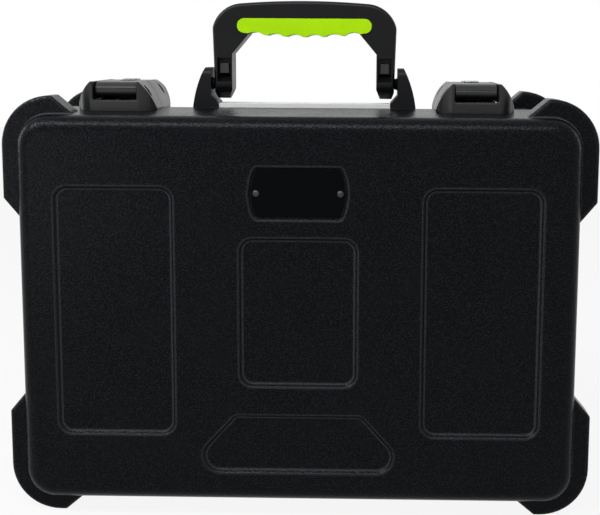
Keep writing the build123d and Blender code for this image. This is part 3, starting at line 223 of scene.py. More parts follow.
# ---- finishes ------------------------------------------------------------------------------------
DRIFT_NOISE = {"Detail": 4.0, "Roughness": 0.6}
PATCH_SPAN = (0.35, 0.65)       # part of the drift's range in which the colour changes
GLOSS_SPAN = (0.3, 0.7)         # part of the drift's range in which the gloss changes
EDGE_SAMPLES = 4


class Ray(Enum):
    """Kinds of ray that see the bare studio."""

    CAMERA = "Is Camera Ray"
    GLOSSY = "Is Glossy Ray"
    TRANSMISSION = "Is Transmission Ray"


@dataclass(frozen=True)
class Finish:
    """A surface as its maker gives it: a colour that drifts in soft patches, a gloss and a grain."""

    name: str
    colour: str
    patch: str
    roughness: float
    gloss_drift: float = 0.06
    patch_mm: float = 30.0
    metallic: float = 0.0
    specular: float = 0.5
    specular_tint: str = WHITE
    sheen: float = 0.0
    edge_mm: float = 0.35
    grain_mm: float = 0.8
    grain_depth_mm: float = 0.03
    grain_strength: float = 0.6
    grain_detail: float = 2.0

    @property
    def grains_per_metre(self) -> float:
        """The scale of the grain's textures."""
        return 1 / (self.grain_mm * MM)

    def grain(self, tree: bpy.types.NodeTree, place: bpy.types.NodeSocket) -> bpy.types.NodeSocket:
        """Adds the height pattern of the surface: here the fine orange peel of paint or polish.

        Args:
            tree: the material's node tree.
            place: the coordinates on the object.

        Returns:
            The output that holds the height, from 0 to 1.
        """
        return add_node(tree, "ShaderNodeTexNoise", inputs={
            "Vector": place, "Scale": self.grains_per_metre, "Detail": self.grain_detail}).outputs[0]

    def painted_light(self, tree: bpy.types.NodeTree, place: bpy.types.NodeSocket,
             colour: bpy.types.NodeSocket) -> bpy.types.NodeSocket:
        """Adds painted light to the colour: none on a plain finish.

        Args:
            tree: the material's node tree.
            place: the coordinates on the object.
            colour: the colour of the surface without painted light.

        Returns:
            The output that holds the colour with its painted light.
        """
        return colour

    def material(self) -> bpy.types.Material:
        """Builds the finish.

        Returns:
            The finished material.
        """
        material = bpy.data.materials.new(self.name)
        material.use_nodes = True
        tree = material.node_tree
        tree.nodes.clear()
        place = add_node(tree, "ShaderNodeTexCoord").outputs["Object"]
        drift = add_node(tree, "ShaderNodeTexNoise", inputs={
            "Vector": place, "Scale": 1 / (self.patch_mm * MM), **DRIFT_NOISE}).outputs[0]
        patches = add_node(tree, "ShaderNodeMapRange", inputs={
            "Value": drift, "From Min": PATCH_SPAN[0], "From Max": PATCH_SPAN[1]}).outputs[0]
        colour = add_node(tree, "ShaderNodeMix", {"data_type": "RGBA"}, {
            "Factor": patches, "A": linear(self.colour), "B": linear(self.patch)}).outputs["Result"]
        gloss = add_node(tree, "ShaderNodeMapRange", inputs={
            "Value": drift, "From Min": GLOSS_SPAN[0], "From Max": GLOSS_SPAN[1],
            "To Min": self.roughness - self.gloss_drift,
            "To Max": self.roughness + self.gloss_drift}).outputs[0]
        edge = add_node(tree, "ShaderNodeBevel", {"samples": EDGE_SAMPLES}, {
            "Radius": self.edge_mm * MM}).outputs[0]
        normal = add_node(tree, "ShaderNodeBump", inputs={
            "Height": self.grain(tree, place), "Distance": self.grain_depth_mm * MM,
            "Strength": self.grain_strength, "Normal": edge}).outputs[0]
        shader = add_node(tree, "ShaderNodeBsdfPrincipled", inputs={
            "Base Color": self.painted_light(tree, place, colour), "Roughness": gloss, "Normal": normal,
            "Metallic": self.metallic, "Specular IOR Level": self.specular,
            "Specular Tint": linear(self.specular_tint), "Sheen Weight": self.sheen}).outputs[0]
        add_node(tree, "ShaderNodeOutputMaterial", inputs={"Surface": shader})
        return material


@dataclass(frozen=True)
class PebbledPolyethylene(Finish):
    """Moulded polyethylene with a pebbled skin: dull black, with painted glints and painted edge
    highlights.
    """

    pebble_rise: float = 1.6
    pebble_blend: float = 0.6
    fine_share: float = 1.7
    fine_detail: float = 1.0
    # painted glints: a lighter colour on the tips of some pebbles, standing in for sparkle highlights
    glint_share: float = 0.62
    glint_span: tuple[float, float] = (0.1, 0.6)
    glint_colour: str = "#25262A"
    # painted highlight along every edge, convex and concave: its reach, samples, range and colour
    edge_highlight_mm: float = 2.6
    edge_highlight_samples: int = 6
    edge_highlight_span: tuple[float, float] = (0.93, 0.997)
    edge_highlight_colour: str = "#4E4F54"

    def grain(self, tree: bpy.types.NodeTree, place: bpy.types.NodeSocket) -> bpy.types.NodeSocket:
        """Adds the pebbles, round lumps of uneven size with a finer grain over them.

        Args:
            tree: the material's node tree.
            place: the coordinates on the object.

        Returns:
            The output that holds the height.
        """
        pebbles = add_node(tree, "ShaderNodeTexVoronoi", {"feature": "SMOOTH_F1"}, {
            "Vector": place, "Scale": self.grains_per_metre,
            "Smoothness": self.pebble_blend}).outputs["Distance"]
        fine = add_node(tree, "ShaderNodeTexNoise", inputs={
            "Vector": place, "Scale": self.fine_share * self.grains_per_metre,
            "Detail": self.fine_detail}).outputs[0]
        return add_node(tree, "ShaderNodeMath", {"operation": "MULTIPLY_ADD"}, {
            0: pebbles, 1: -self.pebble_rise, 2: fine}).outputs[0]

    def painted_light(self, tree: bpy.types.NodeTree, place: bpy.types.NodeSocket,
             colour: bpy.types.NodeSocket) -> bpy.types.NodeSocket:
        """Paints glints on some pebble tips, and a painted highlight along every edge, convex and
        concave.

        Args:
            tree: the material's node tree.
            place: the coordinates on the object.
            colour: the colour of the skin without painted light.

        Returns:
            The output that holds the colour with its painted glints and edge highlights.
        """
        # painted glints: lighter colour on the tips of randomly chosen pebbles, in place of their
        # highlights
        cell = add_node(tree, "ShaderNodeTexVoronoi", {"feature": "F1"}, {
            "Vector": place, "Scale": self.grains_per_metre / self.glint_share}).outputs
        tip = add_node(tree, "ShaderNodeMapRange", inputs={
            "Value": cell["Distance"], "From Min": self.glint_span[0], "From Max": self.glint_span[1],
            "To Min": 1.0, "To Max": 0.0}).outputs[0]
        chance = add_node(tree, "ShaderNodeSeparateColor", inputs={0: cell["Color"]}).outputs[0]
        share = add_node(tree, "ShaderNodeMath", {"operation": "MULTIPLY"}, {
            0: tip, 1: chance}).outputs[0]
        glinted = add_node(tree, "ShaderNodeMix", {"data_type": "RGBA"}, {
            "Factor": share, "A": colour, "B": linear(self.glint_colour)}).outputs["Result"]
        # painted highlight: the colour lightens wherever the surface bends, along every edge
        rounded = add_node(tree, "ShaderNodeBevel", {"samples": self.edge_highlight_samples}, {
            "Radius": self.edge_highlight_mm * MM}).outputs[0]
        true = add_node(tree, "ShaderNodeNewGeometry").outputs["Normal"]
        flat = add_node(tree, "ShaderNodeVectorMath", {"operation": "DOT_PRODUCT"}, {
            0: rounded, 1: true}).outputs["Value"]
        edge_highlight = add_node(tree, "ShaderNodeMapRange", inputs={
            "Value": flat, "From Min": self.edge_highlight_span[0], "From Max": self.edge_highlight_span[1],
            "To Min": 1.0, "To Max": 0.0}).outputs[0]
        return add_node(tree, "ShaderNodeMix", {"data_type": "RGBA"}, {
            "Factor": edge_highlight, "A": glinted, "B": linear(self.edge_highlight_colour)}).outputs["Result"]


@dataclass(frozen=True)
class CutFoam(Finish):
    """Closed-cell foam cut with a blade: no gloss, and a surface of small open cells."""

    sheen: float = 0.25             # the soft bloom of the cell walls seen from the side
    grain_detail: float = 3.0
    swell_share: float = 0.12

    def grain(self, tree: bpy.types.NodeTree, place: bpy.types.NodeSocket) -> bpy.types.NodeSocket:
        """Adds the cut cells. Real ones are 0.5 mm, so they are drawn twice as coarse to show.

        Args:
            tree: the material's node tree.
            place: the coordinates on the object.

        Returns:
            The output that holds the height.
        """
        cells = add_node(tree, "ShaderNodeTexVoronoi", {"feature": "F1"}, {
            "Vector": place, "Scale": self.grains_per_metre}).outputs["Distance"]
        swell = add_node(tree, "ShaderNodeTexNoise", inputs={
            "Vector": place, "Scale": self.swell_share * self.grains_per_metre,
            "Detail": self.grain_detail}).outputs[0]
        return add_node(tree, "ShaderNodeMath", {"operation": "ADD"}, {
            0: cells, 1: swell}).outputs[0]


@dataclass(frozen=True)
class DrawnMetal(Finish):
    """Extruded or rolled metal: fine lines along its length that spread each highlight."""

    grain_detail: float = 3.0
    lines: tuple[float, float, float] = (0.02, 1.0, 1.0)

    def grain(self, tree: bpy.types.NodeTree, place: bpy.types.NodeSocket) -> bpy.types.NodeSocket:
        """Adds the drawing lines, a noise stretched along the direction of the draw.

        Args:
            tree: the material's node tree.
            place: the coordinates on the object.

        Returns:
            The output that holds the height.
        """
        stretched = add_node(tree, "ShaderNodeMapping", inputs={
            "Vector": place, "Scale": self.lines}).outputs[0]
        return super().grain(tree, stretched)


@dataclass(frozen=True)
class Palette:
    """Every finish of the case, each built once."""

    shell: bpy.types.Material
    nylon: bpy.types.Material
    handle: bpy.types.Material
    bracket: bpy.types.Material
    grip: bpy.types.Material
    insert: bpy.types.Material
    strip: bpy.types.Material
    plate: bpy.types.Material
    enamel: bpy.types.Material
    valance: bpy.types.Material
    zinc: bpy.types.Material
    steel: bpy.types.Material
    nickel: bpy.types.Material
    foam: bpy.types.Material
    lid_foam: bpy.types.Material

    @classmethod
    def mixed(cls) -> "Palette":
        """Builds all the finishes.

        Returns:
            The palette of the case.
        """
        return cls(
            shell=PebbledPolyethylene("pebbled_polyethylene", "#010204", "#030406", 0.26, 0.03, 45.0,
                                      specular=0.08, specular_tint="#F6F8FF", edge_mm=0.5,
                                      grain_mm=1.6, grain_depth_mm=0.1,
                                      grain_strength=1.0).material(),
            nylon=Finish("satin_nylon", "#0B0C0E", "#0F1012", 0.32, 0.05, 18.0, specular=0.4,
                         grain_mm=0.7).material(),
            handle=Finish("handle_nylon", "#07080A", "#0A0B0D", 0.36, 0.05, 25.0, specular=0.17,
                          edge_mm=0.4, grain_mm=0.9).material(),
            bracket=Finish("satin_bracket_nylon", "#0A0B0D", "#0D0E11", 0.42, 0.05, 18.0,
                           specular=0.14, edge_mm=0.4, grain_mm=0.7).material(),
            grip=Finish("lime_elastomer", "#A9E000", "#A1D800", 0.5, 0.05, 20.0, specular=0.1,
                        sheen=0.12, edge_mm=0.4, grain_mm=0.9).material(),
            insert=Finish("insert_nylon", "#101112", "#141516", 0.45, 0.04, 10.0,
                          edge_mm=0.3).material(),
            strip=Finish("pale_pvc", "#DEDFE0", "#D6D7D8", 0.42, 0.05, 14.0, edge_mm=0.3,
                         grain_mm=1.2, grain_depth_mm=0.02).material(),
            plate=Finish("plate_enamel", "#040506", "#050607", 0.3, 0.03, 22.0, specular=0.03,
                         edge_mm=0.25, grain_mm=1.4, grain_depth_mm=0.015,
                         grain_strength=0.4).material(),
            enamel=Finish("rivet_enamel", "#121213", "#161617", 0.28, 0.05, 3.0,
                          edge_mm=0.2, grain_depth_mm=0.02).material(),
            valance=DrawnMetal("anodised_extrusion", "#B4B6B9", "#A6A9AD", 0.34, 0.06, 40.0,
                               metallic=1.0, edge_mm=0.3, grain_mm=0.5,
                               grain_depth_mm=0.02).material(),
            zinc=DrawnMetal("zinc_plate", "#A9ACAE", "#989CA1", 0.36, 0.09, 9.0, metallic=1.0,
                            edge_mm=0.3, grain_mm=0.6, grain_depth_mm=0.02).material(),
            steel=DrawnMetal("ground_steel", "#B9B8B4", "#ABAAA7", 0.25, 0.05, 6.0, metallic=1.0,
                             edge_mm=0.2, grain_mm=0.4, grain_depth_mm=0.01).material(),
            nickel=Finish("nickel_plate", "#B4B5B7", "#A8A9AB", 0.28, 0.05, 5.0, metallic=1.0,
                          edge_mm=0.2, grain_depth_mm=0.01).material(),
            foam=CutFoam("cut_foam", "#26272A", "#2C2D30", 0.92, 0.03, 25.0, specular=0.2,
                         edge_mm=0.8, grain_mm=1.1, grain_depth_mm=0.45,
                         grain_strength=0.8).material(),
            lid_foam=CutFoam("convoluted_foam", "#242528", "#2B2C2F", 0.92, 0.03, 30.0,
                             specular=0.2, edge_mm=0.8, grain_mm=1.1, grain_depth_mm=0.45,
                             grain_strength=0.8).material(),
        )


# ---- hard parts ----------------------------------------------------------------------------------
@dataclass
class HardParts:
    """The parts whose shape the frame already gives: each keeps its mesh and gets its finish."""

    nodes: dict[str, bpy.types.Object]
    palette: Palette

    def finishes(self) -> dict[str, bpy.types.Material]:
        """Names the finish of every hard node.

        Returns:
            The material of each node, by the node's name.
        """
        p = self.palette
        chosen = {"base_shell": p.shell, "lid_shell": p.shell, "base_valance": p.valance,
                  "lid_valance": p.valance, "name_plate": p.plate, "handle_strip": p.strip,
                  "handle_backing_plate": p.zinc, "bracket_screws": p.zinc,
                  "handle_frame": p.handle, "handle_grip": p.grip, "handle_inserts": p.insert}
        for side in SIDES:
            chosen |= {f"{part}_{side}": p.nylon
                       for part in ("latch_housing", "keeper_housing", "latch_lever", "latch_hook")}
            chosen |= {f"{part}_{side}": p.zinc for part in ("hinge_base_leaf", "hinge_lid_leaf")}
            chosen |= {f"{part}_{side}": p.steel
                       for part in ("handle_pin", "lever_pins", "hinge_pin", "hook_pin", "keeper_bar")}
            chosen |= {f"handle_bracket_{side}": p.bracket, f"lock_cylinder_{side}": p.nickel}
        return chosen

    def build(self) -> None:
        """Dresses every hard node."""
        for name, material in self.finishes().items():
            dress(self.nodes[name], material)
            LOG.info("%s is finished in %s", name, material.name)


# ---- fasteners -----------------------------------------------------------------------------------
class Facing(Enum):
    """The way that the heads of a set of fasteners face, as the turn from +Z."""

    UP = Matrix.Identity(4)
    DOWN = Matrix.Rotation(math.pi, 4, "X")
    FRONT = Matrix.Rotation(math.pi / 2, 4, "X")


RIVETS = (
    ("name_plate_rivets", "lid", Facing.FRONT),
    ("latch_housing_rivets", "base", Facing.UP),
    ("keeper_housing_rivets", "lid", Facing.UP),
    ("hinge_base_rivets", "base", Facing.DOWN),
    ("hinge_lid_rivets", "lid", Facing.DOWN),
)


@dataclass
class RivetSet:
    """A set of domed rivets, turned from one profile and set where the frame's rivets are."""

    node: bpy.types.Object
    body: str
    facing: Facing
    finish: bpy.types.Material
    slot: str = "rivet"
    head_radius: float = 2.9 * MM
    head_rise: float = 1.75 * MM
    head_land: float = 0.02 * MM    # under the head, at its rim and again at the shank
    dome_steps: int = 9
    dimple_radius: float = 0.75 * MM
    dimple_depth: float = 0.35 * MM
    dimple_floor: float = 0.8       # share of the dimple's radius that is flat
    dimple_lip: float = 0.03 * MM
    shank_radius: float = 1.6 * MM
    flare_radius: float = 2.6 * MM
    flare_start: float = 0.9 * MM   # from the rivet's end
    flare_full: float = 0.7 * MM    # from the rivet's end
    flare_end: float = 0.85         # share of the flare's radius at the rivet's end
    pole: float = 0.05              # share of a radius at which the outline stops beside the axis
    segments: int = 28
    node_weld: float = 0.001 * MM
    piece_weld: float = 0.0005 * MM

    def places(self) -> list[tuple[Vector, float]]:
        """Finds each rivet of the node.

        Returns:
            For each rivet the top of its head and its whole length.
        """
        mesh = bmesh.new()
        mesh.from_mesh(self.node.data)
        bmesh.ops.remove_doubles(mesh, verts=mesh.verts, dist=self.node_weld)
        axis = (self.facing.value @ Vector((0, 0, 1, 0))).to_3d()
        found = []
        left = set(mesh.verts)
        while left:
            island, front = set(), [left.pop()]
            while front:
                vertex = front.pop()
                island.add(vertex)
                for edge in vertex.link_edges:
                    other = edge.other_vert(vertex)
                    if other in left:
                        left.discard(other)
                        front.append(other)
            points = [v.co.copy() for v in island]
            heights = [p.dot(axis) for p in points]
            low = Vector(tuple(min(p[i] for p in points) for i in range(3)))
            high = Vector(tuple(max(p[i] for p in points) for i in range(3)))
            middle = (low + high) / 2
            top = middle + axis * (max(heights) - middle.dot(axis))
            found.append((top, max(heights) - min(heights)))
        mesh.free()
        return found

    def profile(self, length: float) -> list[tuple[float, float]]:
        """Gives the turned outline of one rivet, from the middle of its head to its flared end.

        Args:
            length: the rivet's whole length.

        Returns:
            Radius and height of each point, the height from the top of the head.
        """
        outline = [(self.dimple_radius * self.pole, -self.dimple_depth),
                   (self.dimple_radius * self.dimple_floor, -self.dimple_depth),
                   (self.dimple_radius, -self.dimple_lip)]
        for step in range(1, self.dome_steps + 1):
            turn = math.pi / 2 * step / self.dome_steps
            radius = self.dimple_radius + (self.head_radius - self.dimple_radius) * math.sin(turn)
            outline.append((radius, -self.head_rise * (1 - math.cos(turn))))
        outline += [(self.head_radius, -self.head_rise - self.head_land),
                    (self.shank_radius, -self.head_rise - 2 * self.head_land),
                    (self.shank_radius, -length + self.flare_start),
                    (self.flare_radius, -length + self.flare_full),
                    (self.flare_radius * self.flare_end, -length),
                    (self.shank_radius * self.pole, -length)]
        return outline

    def tree(self) -> bpy.types.NodeTree:
        """Builds the tree that turns the profile and sets a copy at each place.

        Returns:
            The geometry node tree.
        """
        tree = open_tree(f"{self.node.name}_turning", {
            "Profile": "Object", "Segments": "Int", "Turn": "Vector", "Finish": "Material"})
        given = add_node(tree, "NodeGroupInput").outputs
        outline = add_node(tree, "GeometryNodeObjectInfo", inputs={
            "Object": given["Profile"]}).outputs["Geometry"]
        line = add_node(tree, "GeometryNodeMeshToCurve", inputs={"Mesh": outline}).outputs[0]
        radius = add_node(tree, "GeometryNodeInputNamedAttribute", {"data_type": "FLOAT"}, {
            "Name": "turned_radius"}).outputs["Attribute"]
        ring = add_node(tree, "GeometryNodeCurvePrimitiveCircle", inputs={
            "Resolution": given["Segments"], "Radius": 1.0}).outputs["Curve"]
        turned = add_node(tree, "GeometryNodeCurveToMesh", inputs={
            "Curve": line, "Profile Curve": ring, "Scale": radius, "Fill Caps": True}).outputs[0]
        smooth = add_node(tree, "GeometryNodeSetShadeSmooth", inputs={"Geometry": turned}).outputs[0]
        turn = add_node(tree, "FunctionNodeEulerToRotation", inputs={0: given["Turn"]}).outputs[0]
        copies = add_node(tree, "GeometryNodeInstanceOnPoints", inputs={
            "Points": given["Geometry"], "Instance": smooth, "Rotation": turn}).outputs[0]
        close_tree(tree, copies, given["Finish"])
        return tree

    def build(self) -> bpy.types.Object:
        """Turns the rivets and sets them in place of the frame's.

        Returns:
            The finished piece.
        """
        places = self.places()
        points = self.profile(min(length for _, length in places))
        outline = bpy.data.meshes.new(f"{self.node.name}_outline")
        outline.from_pydata([(0, 0, height) for _, height in points],
                            [(i, i + 1) for i in range(len(points) - 1)], [])
        radii = outline.attributes.new("turned_radius", "FLOAT", "POINT")
        radii.data.foreach_set("value", [radius for radius, _ in points])
        profile = new_object(f"{self.node.name}_outline", outline)
        seats = bpy.data.meshes.new(f"{self.node.name}_seats")
        seats.from_pydata([tuple(top) for top, _ in places], [], [])
        mesh = grown_mesh(new_object(f"{self.node.name}_seats", seats), self.tree(), {
            "Profile": profile, "Segments": self.segments,
            "Turn": self.facing.value.to_euler(), "Finish": self.finish})
        bpy.data.objects.remove(profile)
        mend(mesh, self.piece_weld)
        piece = new_object(f"{self.node.name}_domed", mesh)
        dress(piece, self.finish)
        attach(piece, self.body)
        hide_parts(self.node.name)
        LOG.info("%s: %d rivets", piece.name, len(places))
        return piece


# ---- foam ----------------------------------------------------------------------------------------
@dataclass
class FoamInsert:
    """The cut foam of the base: three rows of round wells, the two long wells and the pad under them."""

    nodes: dict[str, bpy.types.Object]
    finish: bpy.types.Material
    slot: str = "foam"
    names: tuple[str, ...] = ("foam_pad", "drop_foam_1", "drop_foam_2", "drop_foam_3", "accessory_foam")
    edge: float = 1.4 * MM
    edge_steps: int = 3
    edge_profile: float = 0.6       # 0.5 is a round edge, 1 a square one
    weld: float = 0.005 * MM
    flat_degrees: float = 1.0       # faces that turn by less become one
    cut_degrees: float = 35.0       # edges that turn by more are softened
    sharp_degrees: float = 40.0

    def cut_block(self, name: str) -> bpy.types.Object:
        """Models one block of cut foam with its edges softened by the blade.

        Args:
            name: the node whose room the block fills.

        Returns:
            The block.
        """
        mesh = bmesh.new()
        mesh.from_mesh(self.nodes[name].data)
        bmesh.ops.remove_doubles(mesh, verts=mesh.verts, dist=self.weld)
        bmesh.ops.dissolve_limit(mesh, angle_limit=math.radians(self.flat_degrees),
                                 verts=mesh.verts, edges=mesh.edges)
        least = math.radians(self.cut_degrees)
        cuts = [e for e in mesh.edges if len(e.link_faces) == 2 and e.calc_face_angle(0) > least]
        bmesh.ops.bevel(mesh, geom=cuts, offset=self.edge, offset_type="OFFSET",
                        segments=self.edge_steps, profile=self.edge_profile, affect="EDGES",
                        clamp_overlap=True)
        bmesh.ops.triangulate(mesh, faces=mesh.faces)
        data = bpy.data.meshes.new(f"{name}_cut")
        mesh.to_mesh(data)
        mesh.free()
        shade_smooth(data, self.sharp_degrees)
        return new_object(f"{name}_cut", data)

    def build(self) -> None:
        for name in self.names:
            piece = self.cut_block(name)
            dress(piece, self.finish)
            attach(piece, "base")
            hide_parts(name)
            LOG.info("%s: %d faces", piece.name, len(piece.data.polygons))


@dataclass
class ConvolutedFoam:
    """The lid's egg-crate foam: a slab whose face rises in rounded peaks toward the microphones."""

    finish: bpy.types.Material
    node: str = "lid_foam"
    slot: str = "lid_foam"
    axes: tuple[str, str] = ("Width", "Height")
    pitch: float = 33.0 * MM
    depth: float = 20.0 * MM
    corner: float = 19.0 * MM
    margin: float = 0.4 * MM
    step: float = 3.0 * MM
    draft_degrees: float = 3.2
    crest: float = 0.93             # share of the depth at which a peak rounds off
    crest_blend: float = 0.15
    shoulder: float = 60.0          # the face is at full height 1/60 of the way in from the rim
    sharp_degrees: float = 45.0
    lift: float = 1.0 * MM          # first height of the drawn wall, before the face is formed
    weld: float = 0.01 * MM
    least_reach: float = 0.001 * MM

    def sums(self) -> list[tuple[str, str, tuple]]:
        """Lists the sums that form the slab, in the order in which they are worked out.

        First come the points of the sheet. Then its square corners are pulled in to round ones.
        Last the waves of both directions make the peaks, which fall off to the rim.

        Returns:
            Name, operation and values of each sum. A value is a number, or the name of an input
            or of a sum above.
        """
        across, up = self.axes
        rows = []
        for axis in self.axes:
            rows += [
                (f"{axis} size", "MULTIPLY", (f"Half {axis}", 2.0)),
                (f"{axis} parts", "DIVIDE", (f"{axis} size", "Step")),
                (f"{axis} steps", "CEIL", (f"{axis} parts",)),
                (f"{axis} points", "ADD", (f"{axis} steps", 1.0)),
                (f"{axis} inner", "SUBTRACT", (f"Half {axis}", "Corner")),
                (f"{axis} away", "ABSOLUTE", (f"{axis} place",)),
                (f"{axis} past", "SUBTRACT", (f"{axis} away", f"{axis} inner")),
                (f"{axis} over", "MAXIMUM", (f"{axis} past", 0.0)),
                (f"{axis} square", "MULTIPLY", (f"{axis} over", f"{axis} over")),
            ]
        rows += [
            ("squares", "ADD", (f"{across} square", f"{up} square")),
            ("length", "SQRT", ("squares",)),
            ("reach", "MAXIMUM", ("length", self.least_reach)),
            ("longer", "MAXIMUM", (f"{across} over", f"{up} over")),
            ("share", "DIVIDE", ("longer", "reach")),
            ("pull", "SUBTRACT", (1.0, "share")),
        ]
        for axis in self.axes:
            rows += [
                (f"{axis} pulled", "MULTIPLY", (f"{axis} over", "pull")),
                (f"{axis} kept", "SUBTRACT", (f"{axis} away", f"{axis} pulled")),
                (f"{axis} side", "SIGN", (f"{axis} place",)),
                (f"{axis} placed", "MULTIPLY", (f"{axis} side", f"{axis} kept")),
                (f"{axis} waves", "DIVIDE", (f"{axis} placed", "Pitch")),
                (f"{axis} angle", "MULTIPLY", (f"{axis} waves", 2 * math.pi)),
                (f"{axis} wave", "COSINE", (f"{axis} angle",)),
                (f"{axis} distance", "ABSOLUTE", (f"{axis} placed",)),
                (f"{axis} ratio", "DIVIDE", (f"{axis} distance", f"Half {axis}")),
                (f"{axis} rim", "SUBTRACT", (1.0, f"{axis} ratio")),
            ]
        rows += [
            ("both waves", "MULTIPLY", (f"{across} wave", f"{up} wave")),
            ("lump", "MULTIPLY_ADD", ("both waves", 0.5, 0.5)),
            ("peak", "SMOOTH_MIN", ("lump", self.crest, self.crest_blend)),
            ("rim", "MINIMUM", (f"{across} rim", f"{up} rim")),
            ("rise", "MULTIPLY", ("rim", self.shoulder)),
            ("shoulder", "MINIMUM", ("rise", 1.0)),
            ("height", "MULTIPLY", ("peak", "shoulder")),
            ("hollow", "SUBTRACT", (1.0, "height")),
            ("fall", "MULTIPLY", ("hollow", "Depth")),
            ("front", "SUBTRACT", ("Face", "fall")),
        ]
        return rows

    def tree(self) -> bpy.types.NodeTree:
        """Builds the tree that forms the slab from a flat sheet.

        Returns:
            The geometry node tree.
        """
        sizes = [f"Half {axis}" for axis in self.axes]
        sizes += ["Corner", "Pitch", "Depth", "Back", "Face", "Step"]
        tree = open_tree("convoluting", {**{name: "Float" for name in sizes}, "Finish": "Material"})
        given = add_node(tree, "NodeGroupInput").outputs
        position = add_node(tree, "GeometryNodeInputPosition").outputs[0]
        split = add_node(tree, "ShaderNodeSeparateXYZ", inputs={0: position}).outputs
        known = {name: given[name] for name in sizes}
        known |= {f"{axis} place": split[i] for i, axis in enumerate(self.axes)}
        for name, operation, values in self.sums():
            known[name] = add_node(tree, "ShaderNodeMath", {"operation": operation}, {
                i: known.get(value, value) for i, value in enumerate(values)}).outputs[0]
        across, up = self.axes
        sheet = add_node(tree, "GeometryNodeMeshGrid", inputs={
            "Size X": known[f"{across} size"], "Size Y": known[f"{up} size"],
            "Vertices X": known[f"{across} points"],
            "Vertices Y": known[f"{up} points"]}).outputs["Mesh"]
        front, rear = (add_node(tree, "ShaderNodeCombineXYZ", inputs={
            0: known[f"{across} placed"], 1: known[plane],
            2: known[f"{up} placed"]}).outputs[0] for plane in ("front", "Back"))
        back = add_node(tree, "GeometryNodeSetPosition", inputs={
            "Geometry": sheet, "Position": rear}).outputs[0]
        kept_front = add_node(tree, "GeometryNodeStoreNamedAttribute", {
            "data_type": "FLOAT_VECTOR", "domain": "POINT"}, {
            "Geometry": sheet, "Name": "formed", "Value": front}).outputs[0]
        flat = add_node(tree, "GeometryNodeSetPosition", inputs={
            "Geometry": kept_front, "Position": rear}).outputs[0]
        drawn = add_node(tree, "GeometryNodeExtrudeMesh", inputs={
            "Mesh": flat, "Offset": (0.0, self.lift, 0.0), "Individual": False}).outputs
        formed = add_node(tree, "GeometryNodeInputNamedAttribute", {"data_type": "FLOAT_VECTOR"}, {
            "Name": "formed"}).outputs["Attribute"]
        slab = add_node(tree, "GeometryNodeSetPosition", inputs={
            "Geometry": drawn["Mesh"], "Selection": drawn["Top"], "Position": formed}).outputs[0]
        both = add_node(tree, "GeometryNodeJoinGeometry", inputs={0: slab})
        tree.links.new(back, both.inputs[0])
        joined = add_node(tree, "GeometryNodeMergeByDistance", inputs={
            "Geometry": both.outputs[0], "Distance": self.weld}).outputs[0]
        close_tree(tree, joined, given["Finish"])
        return tree

    def build(self) -> bpy.types.Object:
        """Forms the slab in the room of the frame's lid foam.

        Returns:
            The finished piece.
        """
        low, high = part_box(self.node)
        middle = (low + high) / 2
        inset = (high.y - low.y) * math.tan(math.radians(self.draft_degrees)) + self.margin
        seat = new_object("lid_foam_sheet", bpy.data.meshes.new("lid_foam_sheet"))
        mesh = grown_mesh(seat, self.tree(), {
            "Half Width": (high.x - low.x) / 2 - inset, "Half Height": (high.z - low.z) / 2 - inset,
            "Corner": self.corner, "Pitch": self.pitch, "Depth": self.depth, "Back": low.y,
            "Face": high.y, "Step": self.step, "Finish": self.finish})
        mesh.transform(Matrix.Translation((middle.x, 0, middle.z)))
        mend(mesh)
        mesh.attributes.remove(mesh.attributes["formed"])
        shade_smooth(mesh, self.sharp_degrees)
        piece = new_object("lid_foam_convoluted", mesh)
        dress(piece, self.finish)
        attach(piece, "lid")
        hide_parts(self.node)
        LOG.info("%s: %d faces", piece.name, len(mesh.polygons))
        return piece


# ---- studio --------------------------------------------------------------------------------------
@dataclass(frozen=True)
class Lamp:
    """A soft rectangular lamp, its place and size in metres and its power in watts."""

    name: str
    place: tuple[float, float, float]
    size: tuple[float, float]
    power: float


